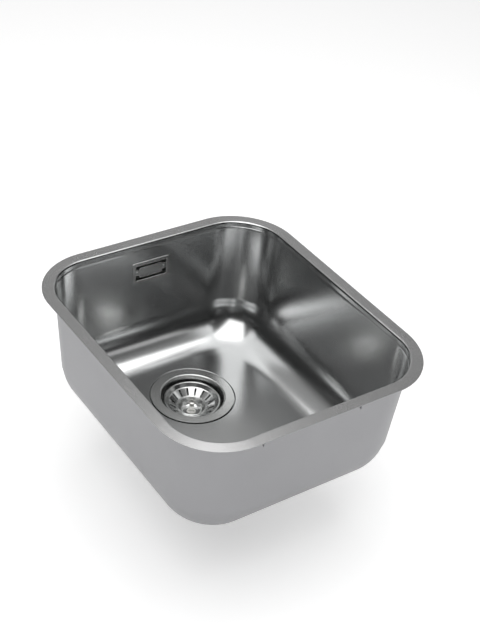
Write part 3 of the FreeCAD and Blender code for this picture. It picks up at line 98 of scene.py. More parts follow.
class BowlSizes(bpy.types.PropertyGroup):
    """Sizes of the pressed bowl."""
    opening_width: length("Opening width", "Inside width of the basin at its mouth", 340)
    opening_length: length("Opening length", "Inside length of the basin at its mouth", 395)
    opening_corner: length("Opening corner", "Corner radius of the mouth", 67)
    rim_width: length("Rim width", "Flat rim that goes under the worktop", 17)
    rim_edge: length("Rim edge", "Radius from the rim into the neck", 3)
    rim_droop: length("Rim droop", "How far pressing draws the rim's corners down at their outer edge", 0.8)
    sheet: length("Sheet", "Thickness of the steel", 1)
    neck_depth: length("Neck depth", "Upright collar under the rim", 8)
    neck_step: length("Neck step", "Step from the collar to the wall", 0.8)
    wall_draft: slope("Wall draft", "How far the walls lean in", 3.5)
    bowl_depth: length("Bowl depth", "Inside depth of the basin", 175)
    base_corner: length("Base corner", "Corner radius of the walls at the floor", 66)
    base_radius: length("Base radius", "Radius from the walls into the floor", 56)
    waste_offset: length("Waste offset", "Drain centre behind the middle", 66)
    drain_radius: length("Drain radius", "Hole for the waste", 45)
    seat_radius: length("Seat radius", "Recess that the flange lies in", 59)
    seat_depth: length("Seat depth", "Depth of that recess", 1.8)
    seat_brow: length("Seat brow", "Radius at the recess's edge and foot", 0.7)


class WasteSizes(bpy.types.PropertyGroup):
    """Sizes of the pressed cup of the waste."""
    flange_radius: length("Flange radius", "Flange of the waste", 57.5)
    flange_proud: length("Flange height", "Flange over the basin floor", 1)
    cup_sheet: length("Cup sheet", "Thickness of the cup's steel", 1)
    cup_radius: length("Cup radius", "Mouth of the cup", 43.8)
    cup_edge: length("Cup edge", "Radius rolled at the mouth", 2.2)
    cup_waist: length("Cup waist", "Radius at the foot of the wall", 41.2)
    waist_depth: length("Waist depth", "Height of the wall", 26)
    cup_floor: length("Cup floor", "Radius of the cup's floor", 29)
    cup_depth: length("Cup depth", "Depth of the cup", 40)
    well_radius: length("Well radius", "Well that the centre screw sits in", 8.5)
    well_depth: length("Well depth", "Depth of the well", 9)
    screw_hole: length("Screw hole", "Radius of the hole in the well's floor", 4.2)
    drain_hole: length("Drain hole", "Radius of each hole in the floor", 4.6)
    drain_hole_circle: length("Hole circle", "Circle that the holes lie on", 18)
    drain_hole_count: count("Holes", "Number of holes", 8)


class BasketSizes(bpy.types.PropertyGroup):
    """Sizes of the strainer basket and of its knob."""
    sheet: length("Sheet", "Thickness of the basket's steel", 0.7)
    radius: length("Radius", "Rolled edge of the basket", 39.2)
    drop: length("Drop", "Edge of the basket under the flange", 7.1)
    bead: length("Bead", "Height of the rolled edge", 2.6)
    shoulder_radius: length("Shoulder radius", "Top of the slotted cone", 31.8)
    shoulder_depth: length("Shoulder depth", "Level of that top", 12.9)
    valley_radius: length("Valley radius", "Foot of the slotted cone", 22.2)
    valley_depth: length("Valley depth", "Level of that foot", 19.9)
    ridge_radius: length("Ridge radius", "Raised ring inside the cone", 20.2)
    ridge_depth: length("Ridge depth", "Level of the ring", 18.3)
    dish_radius: length("Dish radius", "Foot of the dish", 14.5)
    dish_depth: length("Dish depth", "Level of the dish", 29)
    dish_bend: length("Dish bend", "Radius between the dish's wall and its floor", 6)
    slot_count: count("Slots", "Number of slots in the cone", 16)
    slot_turn: slope("Slot turn", "Angle of the first slot", 3)
    slot_width: length("Slot width", "Width of each slot", 2.8)
    knob_base: length("Knob base", "Radius of the knob's foot", 6.3)
    knob_neck: length("Knob neck", "Radius of the knob's neck", 3.5)
    knob_cap: length("Knob cap", "Radius of the knob's cap", 5.3)
    knob_height: length("Knob height", "Height of the knob", 17.8)
    stem_radius: length("Stem radius", "Stem through the dish", 1.9)


class OverflowSizes(bpy.types.PropertyGroup):
    """Sizes of the overflow's frame, plate and screws."""
    offset: length("Offset", "Overflow beside the middle", 2)
    depth: length("Depth", "Overflow under the rim", 44.6)
    frame_width: length("Frame width", "Frame on the wall", 59)
    frame_height: length("Frame height", "Frame on the wall", 33.6)
    frame_thickness: length("Frame thickness", "How far the frame stands out", 1.3)
    frame_corner: length("Frame corner", "Outer corner radius", 2.5)
    frame_edge: length("Frame edge", "Radius rolled round the frame's edges", 0.8)
    mouth_width: length("Mouth width", "Opening in the frame", 48.6)
    mouth_height: length("Mouth height", "Opening in the frame", 22.4)
    mouth_corner: length("Mouth corner", "Corner radius of the opening", 1.5)
    lip_thickness: length("Lip thickness", "Wall of the lip", 0.9)
    lip_length: length("Lip length", "How far the lip goes back", 2.6)
    lip_clearance: length("Lip clearance", "Room round the lip in the sink's hole", 0.3)
    ear_width: length("Ear width", "Ear behind each screw", 6.6)
    ear_height: length("Ear height", "Ear behind each screw", 9)
    ear_thickness: length("Ear thickness", "Ear behind each screw", 0.8)
    plate_width: length("Plate width", "Cover plate", 36.2)
    plate_height: length("Plate height", "Cover plate", 15.6)
    plate_thickness: length("Plate thickness", "Cover plate", 1)
    plate_edge: length("Plate edge", "Radius rolled round the plate's edge", 0.55)
    plate_proud: length("Plate proud", "Plate in front of the wall", 0.5)
    tongue_height: length("Tongue height", "Tongue at each end of the plate", 8)
    fixing_pitch: length("Fixing pitch", "Distance between the screws", 42.2)
    fixing_head: length("Screw head", "Radius of the head", 2.7)
    fixing_head_height: length("Head height", "Height of the head", 1.8)
    fixing_radius: length("Screw radius", "Radius of the thread", 1.5)
    fixing_length: length("Screw length", "Length of the thread", 14)
    recess_arm: length("Recess arm", "Half length of the cross in the head", 1.15)
    recess_width: length("Recess width", "Width of the cross", 0.7)
    recess_depth: length("Recess depth", "Depth of the cross", 1)


class SinkColours(bpy.types.PropertyGroup):
    """Colours of the sink's metals, rubbers and plastics."""
    basin_steel: colour("Basin steel", "Satin-polished inside of the bowl", "#c6c7c7")
    rim_steel: colour("Rim steel", "Brushed flat rim", "#b3b3b3")
    outer_steel: colour("Outer steel", "Pickled outside of the bowl", "#9b9b9d")
    bright_steel: colour("Bright steel", "Polished waste and basket", "#c9cac9")
    knob_nickel: colour("Knob nickel", "Plated knob", "#bcbbb8")
    frame_steel: colour("Frame steel", "Satin overflow frame", "#c6c6c5")
    zinc: colour("Zinc plate", "Screws and clamp", "#bfc1c0")
    brass: colour("Brass", "Inserts", "#c4a35a")
    nitrile: colour("Nitrile rubber", "Gaskets and basket seal", "#1c1c1d")
    polypropylene: colour("Polypropylene", "Moulded waste and overflow", "#b9bab8")
    pipe: colour("Pipe", "Ribbed overflow pipe", "#cfcfcc")
    nut: colour("Nut", "Ring nut of the pipe", "#8d8f90")
    bitumen: colour("Bitumen", "Sound pad under the floor", "#2a2a2b")
    floor: colour("Floor", "Plain studio floor", "#f2f2f2")


def sizes():
    """The four groups of sizes."""
    scene = bpy.context.scene
    return scene.bowl_sizes, scene.waste_sizes, scene.basket_sizes, scene.overflow_sizes


# ---------------- shapes


def vertices(found):
    """The vertices among what an operator gives back."""
    return [part for part in found if isinstance(part, bmesh.types.BMVert)]


def edges(found):
    """The edges among what an operator gives back."""
    return [part for part in found if isinstance(part, bmesh.types.BMEdge)]


def rounded_loop(bm, half_x, half_y, corner, height, steps):
    """The first loop of a mesh: a square with bevelled corners, whose points know their side."""
    layers = bm.verts.layers.float_vector
    side, out = layers.new("side"), layers.new("out")
    square = bmesh.ops.create_grid(bm, x_segments=1, y_segments=1, size=1.0)["verts"]
    bmesh.ops.scale(bm, vec=(half_x, half_y, 1), verts=square)
    bmesh.ops.bevel(bm, geom=square, affect="VERTICES", offset=corner, offset_type="OFFSET", segments=steps,
                    profile=0.5, material=-1)
    bmesh.ops.delete(bm, geom=list(bm.faces), context="FACES_ONLY")
    for v in bm.verts:
        x, y = math.copysign(1, v.co.x), math.copysign(1, v.co.y)
        v[side] = (x, y, 0)
        away = Vector((v.co.x - x * (half_x - corner), v.co.y - y * (half_y - corner), 0))
        v[out] = away.normalized()
        v.co.z = height
    return list({e for v in bm.verts for e in v.link_edges})


def settle(bm, loop, half_x, half_y, corner, height):
    """Move the points of a rounded loop to another size, corner and height."""
    side, out = bm.verts.layers.float_vector["side"], bm.verts.layers.float_vector["out"]
    for v in {v for e in loop for v in e.verts}:
        v.co = (v[side].x * (half_x - corner) + v[out].x * corner,
                v[side].y * (half_y - corner) + v[out].y * corner, height)


def draw_out(bm, loop, *station):
    """Extrude a rounded loop to its next station and give back the new loop."""
    new = edges(bmesh.ops.extrude_edge_only(bm, edges=loop)["geom"])
    settle(bm, new, *station)
    return new


def ring(bm, centre, radius, steps):
    """A plain circle of edges."""
    made = bmesh.ops.create_circle(bm, segments=steps, radius=radius, cap_ends=False,
                                   matrix=Matrix.Translation(centre))["verts"]
    return list({e for v in made for e in v.link_edges})


def widen(bm, loop, centre, radius, height):
    """Extrude a circle of edges to another radius and height."""
    new = edges(bmesh.ops.extrude_edge_only(bm, edges=loop)["geom"])
    for v in {v for e in new for v in e.verts}:
        away = Vector((v.co.x - centre.x, v.co.y - centre.y, 0)).normalized()
        v.co = Vector((centre.x, centre.y, height)) + away * radius
    return new


def wire(bm, corners, steps=5):
    """A line in the XZ plane through corners (radius, height, bend radius), its corners bent round."""
    points = [bm.verts.new((x, 0, z)) for x, z, _ in corners]
    for a, b in zip(points, points[1:]):
        bm.edges.new((a, b))
    bends = []
    for before, point, after, corner in zip(points, points[1:], points[2:], corners[1:]):
        back, ahead = before.co - point.co, after.co - point.co
        if corner[2]:
            bends.append((point, corner[2] / math.tan(back.angle(ahead) / 2)))
    for point, run in bends:
        bmesh.ops.bevel(bm, geom=[point], affect="VERTICES", offset=run, offset_type="OFFSET", segments=steps,
                        profile=0.5, material=-1)
    return list(bm.verts) + list(bm.edges)


def turned(bm, corners, steps=96, bend_steps=5):
    """Spin a bent line round Z."""
    line = wire(bm, corners, bend_steps)
    bmesh.ops.spin(bm, geom=line, cent=(0, 0, 0), axis=(0, 0, 1), angle=2 * math.pi,
                   steps=steps, use_merge=True)
    bmesh.ops.remove_doubles(bm, verts=bm.verts, dist=1e-6)


def face_up(bm):
    """Turn the faces of an open sheet the same way, its flat parts upward."""
    bmesh.ops.recalc_face_normals(bm, faces=bm.faces)
    if sum(f.normal.z * f.calc_area() for f in bm.faces) <= 0:
        bmesh.ops.reverse_faces(bm, faces=bm.faces)


def seat_waste(bm):
    """Move what was drawn about the origin onto the waste's axis, level with the top of the flange."""
    bowl, waste = sizes()[:2]
    place = (0, bowl.waste_offset, -bowl.bowl_depth + waste.flange_proud)
    bmesh.ops.translate(bm, vec=place, verts=bm.verts)


def publish(name, bm, materials, body, nodes, sheet=0.0, edge=0.0, angle=35.0):
    """Make the finished mesh an object that rides on its body and stands for its CAD nodes.

    A sheet's wall grows away from its faces. Edges that turn by more than the angle are broken.
    """
    mesh = bpy.data.meshes.new(name)
    bm.to_mesh(mesh)
    bm.free()
    piece = bpy.data.objects.new(name, mesh)
    bpy.context.scene.collection.objects.link(piece)
    for material in materials:
        mesh.materials.append(finish(material))
    mesh.shade_smooth()
    if sheet:
        wall = piece.modifiers.new("Sheet", "SOLIDIFY")
        wall.thickness = sheet
        wall.offset = -1
        wall.use_even_offset = True
        wall.use_quality_normals = True
        wall.material_offset = len(materials) - 1
    if edge:
        bevel = piece.modifiers.new("Edge", "BEVEL")
        bevel.width = edge
        bevel.segments = 2
        bevel.limit_method = "ANGLE"
        bevel.angle_limit = math.radians(angle)
    normals = piece.modifiers.new("Normals", "WEIGHTED_NORMAL")
    normals.weight = 80
    normals.keep_sharp = True
    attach(piece, body)
    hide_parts(*nodes)
    return piece


def crisp(bm, angle=32.0):
    """Mark the edges that turn by more than an angle in degrees as sharp."""
    for e in bm.edges:
        e.smooth = len(e.link_faces) == 2 and e.calc_face_angle(math.pi) < math.radians(angle)


def carry(body, *rows):
    """Finish CAD nodes in their own shape, as merged, smooth copies with their flat parts made whole faces.

    A row is a node, its material, its slot, which is not used, and the millimetres off its edges.
    """
    for node, material, slot, edge in rows:
        bm = bmesh.new()
        bm.from_mesh(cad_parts[node].data)
        bmesh.ops.remove_doubles(bm, verts=bm.verts, dist=2e-6)
        bmesh.ops.dissolve_limit(bm, angle_limit=math.radians(0.4), verts=bm.verts, edges=bm.edges,
                                 use_dissolve_boundaries=False, delimit=set())
        crisp(bm)
        publish(node + "_finish", bm, [material], body, [node], edge=edge * MM)


# ---------------- materials


def add(tree, kind, inputs=None, **settings):
    """Add a node with its settings; an input is a value, or the output of another node."""
    made = tree.nodes.new(kind)
    for key, value in settings.items():
        setattr(made, key, value)
    for key, value in (inputs or {}).items():
        if isinstance(value, bpy.types.NodeSocket):
            tree.links.new(value, made.inputs[key])
        else:
            made.inputs[key].default_value = value
    return made


def new_material(name):
    """An empty material: its tree, and its Principled shader."""
    material = bpy.data.materials.new(name)
    material.use_nodes = True
    tree = material.node_tree
    tree.nodes.clear()
    shader = add(tree, "ShaderNodeBsdfPrincipled")
    add(tree, "ShaderNodeOutputMaterial", {"Surface": shader.outputs["BSDF"]})
    return material, tree, shader


def shade(tint, factor):
    """A colour made lighter or darker, with an alpha of one."""
    return (*[min(1.0, c * factor) for c in tint], 1.0)


def surface(name, tint, roughness, grain_mm=0.7, wave_mm=18.0, spread=0.1, mottle=0.03,
            grain=(1.0, 1.0, 1.0), grain_depth=0.0, wave_depth=0.0, ior=None, specular=0.5):
    """A metal or, where an IOR is given, a plastic or rubber, with a drawn grain and broad faint waves.

    Real grit lines are 0.02 to 0.1 mm apart, too fine for the picture, so the grain is drawn coarser.
    The grain may be stretched along an axis. Depths are in millimetres.
    """
    _, tree, shader = new_material(name)
    metal = ior is None
    place = add(tree, "ShaderNodeTexCoord").outputs["Object"]
    stretched = add(tree, "ShaderNodeMapping", {"Vector": place, "Scale": grain}).outputs["Vector"]
    grit = add(tree, "ShaderNodeTexNoise", {
        "Vector": stretched, "Scale": 1 / (grain_mm * MM), "Detail": 3.0 if metal else 4.0,
        "Roughness": 0.6 if metal else 0.5}).outputs["Fac"]
    cloud = add(tree, "ShaderNodeTexNoise", {
        "Vector": place, "Scale": 1 / (wave_mm * MM), "Detail": 2.0}).outputs["Fac"]
    tone = add(tree, "ShaderNodeMix", {
        0: grit if metal else cloud, 6: shade(tint, 1 - mottle), 7: shade(tint, 1 + mottle)},
        data_type="RGBA").outputs[2]
    rough = add(tree, "ShaderNodeMapRange", {
        "Value": grit, "From Min": 0.3, "From Max": 0.7,
        "To Min": roughness - spread / 2, "To Max": roughness + spread / 2}).outputs["Result"]
    if metal:
        cloudy = add(tree, "ShaderNodeMath", {0: cloud, 1: spread}, operation="MULTIPLY").outputs["Value"]
        rough = add(tree, "ShaderNodeMath", {0: rough, 1: cloudy}, operation="ADD").outputs["Value"]
        shader.inputs["Metallic"].default_value = 1.0
    else:
        shader.inputs["IOR"].default_value = ior
        shader.inputs["Specular IOR Level"].default_value = specular
    tree.links.new(tone, shader.inputs["Base Color"])
    tree.links.new(rough, shader.inputs["Roughness"])
    normal = shader.inputs["Normal"]
    for height, depth in ((grit, grain_depth), (cloud, wave_depth)):
        if depth:
            bump = add(tree, "ShaderNodeBump", {"Height": height, "Distance": depth * MM, "Strength": 1.0})
            tree.links.new(bump.outputs["Normal"], normal)
            normal = bump.inputs["Normal"]


PRESSED = dict(grain_mm=0.9, wave_mm=25, wave_depth=0.02, spread=0.03, mottle=0.015)

# each material: the colour it takes, and its numbers
RECIPES = {
    # 304 stainless, satin-polished inside the basin after pressing: clear but soft reflections
    "satin_polished_steel": ("basin_steel", dict(
        roughness=0.19, grain=(1, 1, 6), grain_mm=1.4, wave_mm=70, wave_depth=0.12, spread=0.02,
        mottle=0.015)),
    # the flat rim, linished along its length: duller, with a fine grain
    "linished_steel": ("rim_steel", dict(
        roughness=0.25, grain=(1, 6, 1), grain_mm=1.2, wave_mm=50, spread=0.03, mottle=0.02)),
    # the outside and its brackets, pickled and left matt: broad highlights only
    "pickled_steel": ("outer_steel", dict(
        roughness=0.4, grain_mm=1.2, grain_depth=0.02, wave_mm=60, wave_depth=0.1, spread=0.08)),
    # the basket: pressed from bright-annealed sheet and buffed
    "buffed_steel": ("bright_steel", dict(PRESSED, roughness=0.17)),
    # the waste's cup and flange: the same sheet left satin
    "satin_steel": ("bright_steel", dict(PRESSED, roughness=0.24)),
    # knob: turned brass under satin nickel
    "satin_nickel": ("knob_nickel", dict(
        roughness=0.24, grain=(1, 1, 5), grain_mm=0.8, wave_mm=15, spread=0.04, mottle=0.02)),
    # overflow frame and plate: pressed stainless, tumbled: satin faces, and rounded edges that glint
    "tumbled_steel": ("frame_steel", dict(roughness=0.21, grain_mm=0.5, wave_mm=20, spread=0.04)),
    # screws, clamp, washer and spring ring: bright zinc plate, almost a mirror on so small a head
    "zinc_plated_steel": ("zinc", dict(
        roughness=0.18, grain_mm=0.5, grain_depth=0.004, wave_mm=12, spread=0.06)),
    # inserts: free-cutting brass, machined
    "machined_brass": ("brass", dict(
        roughness=0.25, grain=(1, 1, 8), grain_mm=0.4, grain_depth=0.004, wave_mm=12, spread=0.06)),
    # gaskets and seals: black nitrile rubber, moulded matt
    "nitrile_rubber": ("nitrile", dict(
        roughness=0.62, grain_mm=0.8, grain_depth=0.02, ior=1.52, mottle=0.12, specular=0.4)),
    # waste body and overflow housing: grey polypropylene, spark-eroded mould skin
    "polypropylene": ("polypropylene", dict(roughness=0.46, grain_depth=0.02, ior=1.49)),
    # ribbed pipe: natural polypropylene, blow-moulded and shinier
    "blow_moulded_pipe": ("pipe", dict(roughness=0.34, grain_mm=1.5, grain_depth=0.015, ior=1.49)),
    # ring nut: filled polypropylene
    "nut_polypropylene": ("nut", dict(roughness=0.44, grain_depth=0.02, ior=1.49)),
    # sound pad: bitumen sheet with a rolled skin
    "bitumen_sheet": ("bitumen", dict(
        roughness=0.72, grain_mm=1.6, grain_depth=0.12, ior=1.5, mottle=0.15, specular=0.35)),
}


def finish(name):
    """The material of this name, made once."""
    if name not in bpy.data.materials:
        tint, numbers = RECIPES[name]
        surface(name, getattr(bpy.context.scene.sink_colours, tint), **numbers)
    return bpy.data.materials[name]


# ---------------- pieces


class MakeBowl(bpy.types.Operator):
    """Draw the pressed bowl from its rim down through the neck, walls and floor to the drain"""
    bl_idname = "sink.bowl"
    bl_label = "Bowl"

    def execute(self, context):
        s, _, _, over = sizes()
        bm = bmesh.new()
        half_x, half_y, corner = s.opening_width / 2, s.opening_length / 2, s.opening_corner
        loop = rounded_loop(bm, half_x + s.rim_width, half_y + s.rim_width, corner + s.rim_width, 0, 24)
        out = bm.verts.layers.float_vector["out"]
        for v in bm.verts:
            v.co.z -= s.rim_droop * 2 * abs(v[out].x * v[out].y)
        loop = draw_out(bm, loop, half_x + s.rim_edge, half_y + s.rim_edge, corner + s.rim_edge, 0)
        for step in range(1, 7):
            turn = step * math.pi / 12
            grow, drop = s.rim_edge * (1 - math.sin(turn)), s.rim_edge * (1 - math.cos(turn))
            loop = draw_out(bm, loop, half_x + grow, half_y + grow, corner + grow, -drop)
        # the neck ends in a small soft step, where the wall begins
        soft = s.neck_step / 2
        for inset, down in ((0, -1), (0.4, -0.3), (1.4, 0.3), (2, 1.4)):
            grow = -soft * inset
            level = -s.neck_depth - soft * down
            loop = draw_out(bm, loop, half_x + grow, half_y + grow, corner + grow, level)
        lean = math.tan(s.wall_draft)
        reach = s.bowl_depth - s.neck_depth

        def wall(depth):
            """Half sizes and corner of the wall at a depth."""
            down = (depth - s.neck_depth) / reach
            inset = s.neck_step + (depth - s.neck_depth) * lean
            top = corner - s.neck_step
            return half_x - inset, half_y - inset, top + (s.base_corner - top) * down

        bend_height = s.base_radius * (1 - math.sin(s.wall_draft))
        for share in (0.03, 0.35, 0.7, 1.0):
            depth = s.neck_depth + share * (reach - bend_height)
            loop = draw_out(bm, loop, *wall(depth), -depth)
        foot_x, foot_y, foot_corner = wall(s.bowl_depth)
        centre = s.base_radius * (lean - 1 / math.cos(s.wall_draft))
        steps = 18
        for step in range(1, steps + 1):
            turn = s.wall_draft + (math.pi / 2 - s.wall_draft) * step / steps
            inset = centre + s.base_radius * math.cos(turn)
            loop = draw_out(bm, loop, foot_x + inset, foot_y + inset, foot_corner + inset,
                            -s.bowl_depth + s.base_radius * (1 - math.sin(turn)))
        # the recess that the flange lies in, its edge and foot rounded, down to the drain
        middle = Vector((0, s.waste_offset, -s.bowl_depth))
        brow = s.seat_brow
        seat = ring(bm, middle, s.seat_radius + brow, 128)
        bmesh.ops.triangle_fill(bm, use_beauty=True, edges=loop + seat, normal=(0, 0, 1))
        for part in (0.4, 0.75, 1.0):
            turn = part * math.pi / 2
            seat = widen(bm, seat, middle, s.seat_radius + brow * (1 - math.sin(turn)),
                         middle.z - brow * (1 - math.cos(turn)))
        foot = middle.z - s.seat_depth
        for radius, height in ((s.seat_radius, foot + brow), (s.seat_radius - brow * 0.3, foot + brow * 0.3),
                               (s.seat_radius - brow, foot), (s.drain_radius, foot)):
            seat = widen(bm, seat, middle, radius, height)
        # the hole for the overflow, cut square in the flat of the rear wall
        room = over.lip_thickness + over.lip_clearance
        hole_x, hole_z = over.mouth_width / 2 + room, over.mouth_height / 2 + room
        far, top, foot = half_y * 0.85, -s.neck_depth, -s.bowl_depth + s.base_radius * 0.9
        for axis, centre, half in (((1, 0, 0), over.offset, hole_x), ((0, 0, 1), -over.depth, hole_z)):
            for place in (centre - half, centre + half):
                rear = [f for f in bm.faces if f.normal.length and abs(f.normal.x) < 0.02
                        and f.calc_center_median().y > far and foot < f.calc_center_median().z < top]
                rims, points = {e for f in rear for e in f.edges}, {v for f in rear for v in f.verts}
                bmesh.ops.bisect_plane(bm, geom=[*rear, *rims, *points], plane_co=Vector(axis) * place,
                                       plane_no=axis, dist=1e-6)
        hole = [f for f in bm.faces if f.calc_center_median().y > far
                and abs(f.calc_center_median().x - over.offset) < hole_x
                and abs(f.calc_center_median().z + over.depth) < hole_z]
        bmesh.ops.delete(bm, geom=hole, context="FACES")
        bmesh.ops.remove_doubles(bm, verts=bm.verts, dist=1e-6)
        face_up(bm)
        for f in bm.faces:
            f.material_index = 1 if f.calc_center_median().z > -s.sheet / 2 else 0
        skins = ["satin_polished_steel", "linished_steel", "pickled_steel"]
        bowl = publish("bowl_pressing", bm, skins, "sink", ["bowl"], sheet=s.sheet,
                       edge=0.22 * MM, angle=50)
        bowl.modifiers["Sheet"].material_offset_rim = 1
        return {"FINISHED"}


class MakeBrackets(bpy.types.Operator):
    """Finish the brackets under the rim that the fixing clips go into"""
    bl_idname = "sink.brackets"
    bl_label = "Clip brackets"

    def execute(self, context):
        carry("sink", ("clip_lugs", "pickled_steel", "bracket_steel", 0.25))
        return {"FINISHED"}


class MakePad(bpy.types.Operator):
    """Finish the sound pad stuck under the floor"""
    bl_idname = "sink.pad"
    bl_label = "Sound pad"

    def execute(self, context):
        carry("sink", ("sound_pad", "bitumen_sheet", "damping_sheet", 0.5))
        return {"FINISHED"}


class MakeGaskets(bpy.types.Operator):
    """Finish the rubber rings between the pieces that hold water"""
    bl_idname = "sink.gaskets"
    bl_label = "Gaskets"

    def execute(self, context):
        for node, edge in (("flange_gasket", 0.3), ("under_gasket", 0.3), ("overflow_gasket", 0.3),
                           ("pipe_seal", 0.0)):
            carry("sink", (node, "nitrile_rubber", "seal_rubber", edge))
        return {"FINISHED"}


class MakeMouldings(bpy.types.Operator):
    """Finish the moulded waste body, overflow housing, ribbed pipe and ring nut"""
    bl_idname = "sink.mouldings"
    bl_label = "Mouldings"

    def execute(self, context):
        carry("sink",
              ("waste_body", "polypropylene", "body_plastic", 0.0),
              ("overflow_housing", "polypropylene", "body_plastic", 0.0),
              ("overflow_pipe", "blow_moulded_pipe", "pipe_plastic", 0.0),
              ("ring_nut", "nut_polypropylene", "nut_plastic", 0.0))
        return {"FINISHED"}


class MakeFixings(bpy.types.Operator):
    """Finish the waste's centre screw, the threaded inserts and the pipe clamp"""
    bl_idname = "sink.fixings"
    bl_label = "Fixings"

    def execute(self, context):
        carry("sink",
              ("centre_screw", "zinc_plated_steel", "screw_steel", 0.0),
              ("screw_insert", "machined_brass", "insert_brass", 0.2),
              ("overflow_inserts", "machined_brass", "insert_brass", 0.2),
              ("pipe_clamp", "zinc_plated_steel", "clamp_steel", 0.15))
        return {"FINISHED"}


class MakeCup(bpy.types.Operator):
    """Spin the waste's cup and fill its floor round the holes"""
    bl_idname = "sink.strainer_cup"
    bl_label = "Strainer cup"

    def execute(self, context):
        s = sizes()[1]
        bm = bmesh.new()
        rest = 1.6 * MM  # floor between the bend and the holes
        turned(bm, [(s.flange_radius, 0, 0), (s.cup_radius, 0, s.cup_edge),
                    (s.cup_waist, -s.waist_depth, 3 * s.cup_edge),
                    (s.cup_floor, -s.cup_depth, 2 * s.cup_edge),
                    (s.drain_hole_circle + s.drain_hole + rest, -s.cup_depth, 0)], 128, 7)
        outer = [e for e in bm.edges if e.is_boundary and e.verts[0].co.z < -s.cup_depth + MM]
        inner = ring(bm, Vector((0, 0, -s.cup_depth)), s.well_radius + 1.5 * MM, 48)
        holes = []
        for number in range(s.drain_hole_count):
            turn = Matrix.Rotation(number * 2 * math.pi / s.drain_hole_count, 3, "Z")
            holes += ring(bm, turn @ Vector((s.drain_hole_circle, 0, -s.cup_depth)), s.drain_hole, 24)
        bmesh.ops.triangle_fill(bm, use_beauty=True, edges=outer + inner + holes, normal=(0, 0, 1))
        # the well's rounded brim and foot in millimetres, then the screw's hole
        brim, foot = ((0.45, 0), (0.1, 0.35), (0, 1.1)), ((0, -1), (-0.3, -0.3), (-1, 0))
        well = [(s.well_radius + out * MM, down * MM) for out, down in brim]
        well += [(s.well_radius + out * MM, s.well_depth + down * MM) for out, down in foot]
        for radius, depth in (*well, (s.screw_hole, s.well_depth)):
            inner = widen(bm, inner, Vector(), radius, -s.cup_depth - depth)
        face_up(bm)
        seat_waste(bm)
        publish("strainer_cup_pressing", bm, ["satin_steel"], "sink", ["strainer_cup"],
                sheet=s.cup_sheet, edge=0.36 * MM, angle=50)
        return {"FINISHED"}


class MakeBasket(bpy.types.Operator):
    """Spin the strainer basket and open its slots"""
    bl_idname = "sink.basket"
    bl_label = "Basket"

    def execute(self, context):
        s = sizes()[2]
        bm = bmesh.new()
        steps = 8 * s.slot_count
        fall = (s.valley_depth - s.shoulder_depth) / (s.shoulder_radius - s.valley_radius)
        # the slots' ends, just inside the cone's bends
        high, low = s.shoulder_radius - 0.35 * MM, s.valley_radius + 0.55 * MM

        def on_cone(radius):
            """A corner of the line, without a bend, on the slotted cone."""
            return radius, -s.shoulder_depth - (s.shoulder_radius - radius) * fall, 0

        # millimetres in from a slot's end, and the share of its width that is open there
        ends = ((0.0, 0.6), (0.25, 1.0), (0.75, 1.0))
        stations = [high - d * MM for d, _ in ends] + [low + d * MM for d, _ in reversed(ends)]
        shares = [share for _, share in (*ends, *reversed(ends))]
        line = [
            (s.radius, -s.drop - s.bead, 0), (s.radius, -s.drop, s.bead / 2.4),
            (s.radius - s.bead, -s.drop, s.bead / 2.4),
            (s.shoulder_radius + s.bead / 2, -s.shoulder_depth + s.sheet / 2, s.sheet),
            (s.shoulder_radius, -s.shoulder_depth, s.sheet * 0.6)]
        line += [on_cone(radius) for radius in stations]
        line += [
            (s.valley_radius, -s.valley_depth, s.sheet * 0.6),
            (s.ridge_radius + 1.5 * s.sheet, -s.valley_depth, s.sheet / 2),
            (s.ridge_radius + s.sheet / 2, -s.ridge_depth, 1.4 * s.sheet),
            (s.ridge_radius - 2 * s.sheet, -s.ridge_depth, 1.7 * s.sheet),
            (s.dish_radius, -s.dish_depth, s.dish_bend), (s.stem_radius + 0.1 * MM, -s.dish_depth, 0)]
        turned(bm, line, steps)
        # open each slot: its two long edges are parallel, its ends rounded
        pitch = 2 * math.pi / s.slot_count
        gone = set()
        for v in list(bm.verts):
            radius = math.hypot(v.co.x, v.co.y)
            turn = math.atan2(v.co.y, v.co.x)
            place = round(turn / pitch)
            off = (turn - place * pitch) / (pitch / 8)
            near = [i for i, r in enumerate(stations)
                    if abs(radius - r) < 0.02 * MM and abs(v.co.z - on_cone(r)[1]) < 0.02 * MM]
            if near and abs(abs(off) - 1) < 0.1:
                across = math.copysign(s.slot_width / 2 * shares[near[0]], off)
                along = math.sqrt(max(radius ** 2 - across ** 2, 0))
                flat = Matrix.Rotation(place * pitch, 2) @ Vector((along, across))
                v.co = (flat.x, flat.y, v.co.z)
            if near and abs(off) < 0.1 and 0 < near[0] < len(stations) - 1:
                gone.add(v)
        bmesh.ops.delete(bm, geom=list(gone), context="VERTS")
        face_up(bm)
        bmesh.ops.rotate(bm, cent=(0, 0, 0), matrix=Matrix.Rotation(s.slot_turn, 3, "Z"), verts=bm.verts)
        seat_waste(bm)
        publish("basket_pressing", bm, ["buffed_steel"], "basket", ["basket_shell"],
                sheet=s.sheet, edge=0.1 * MM, angle=50)
        return {"FINISHED"}


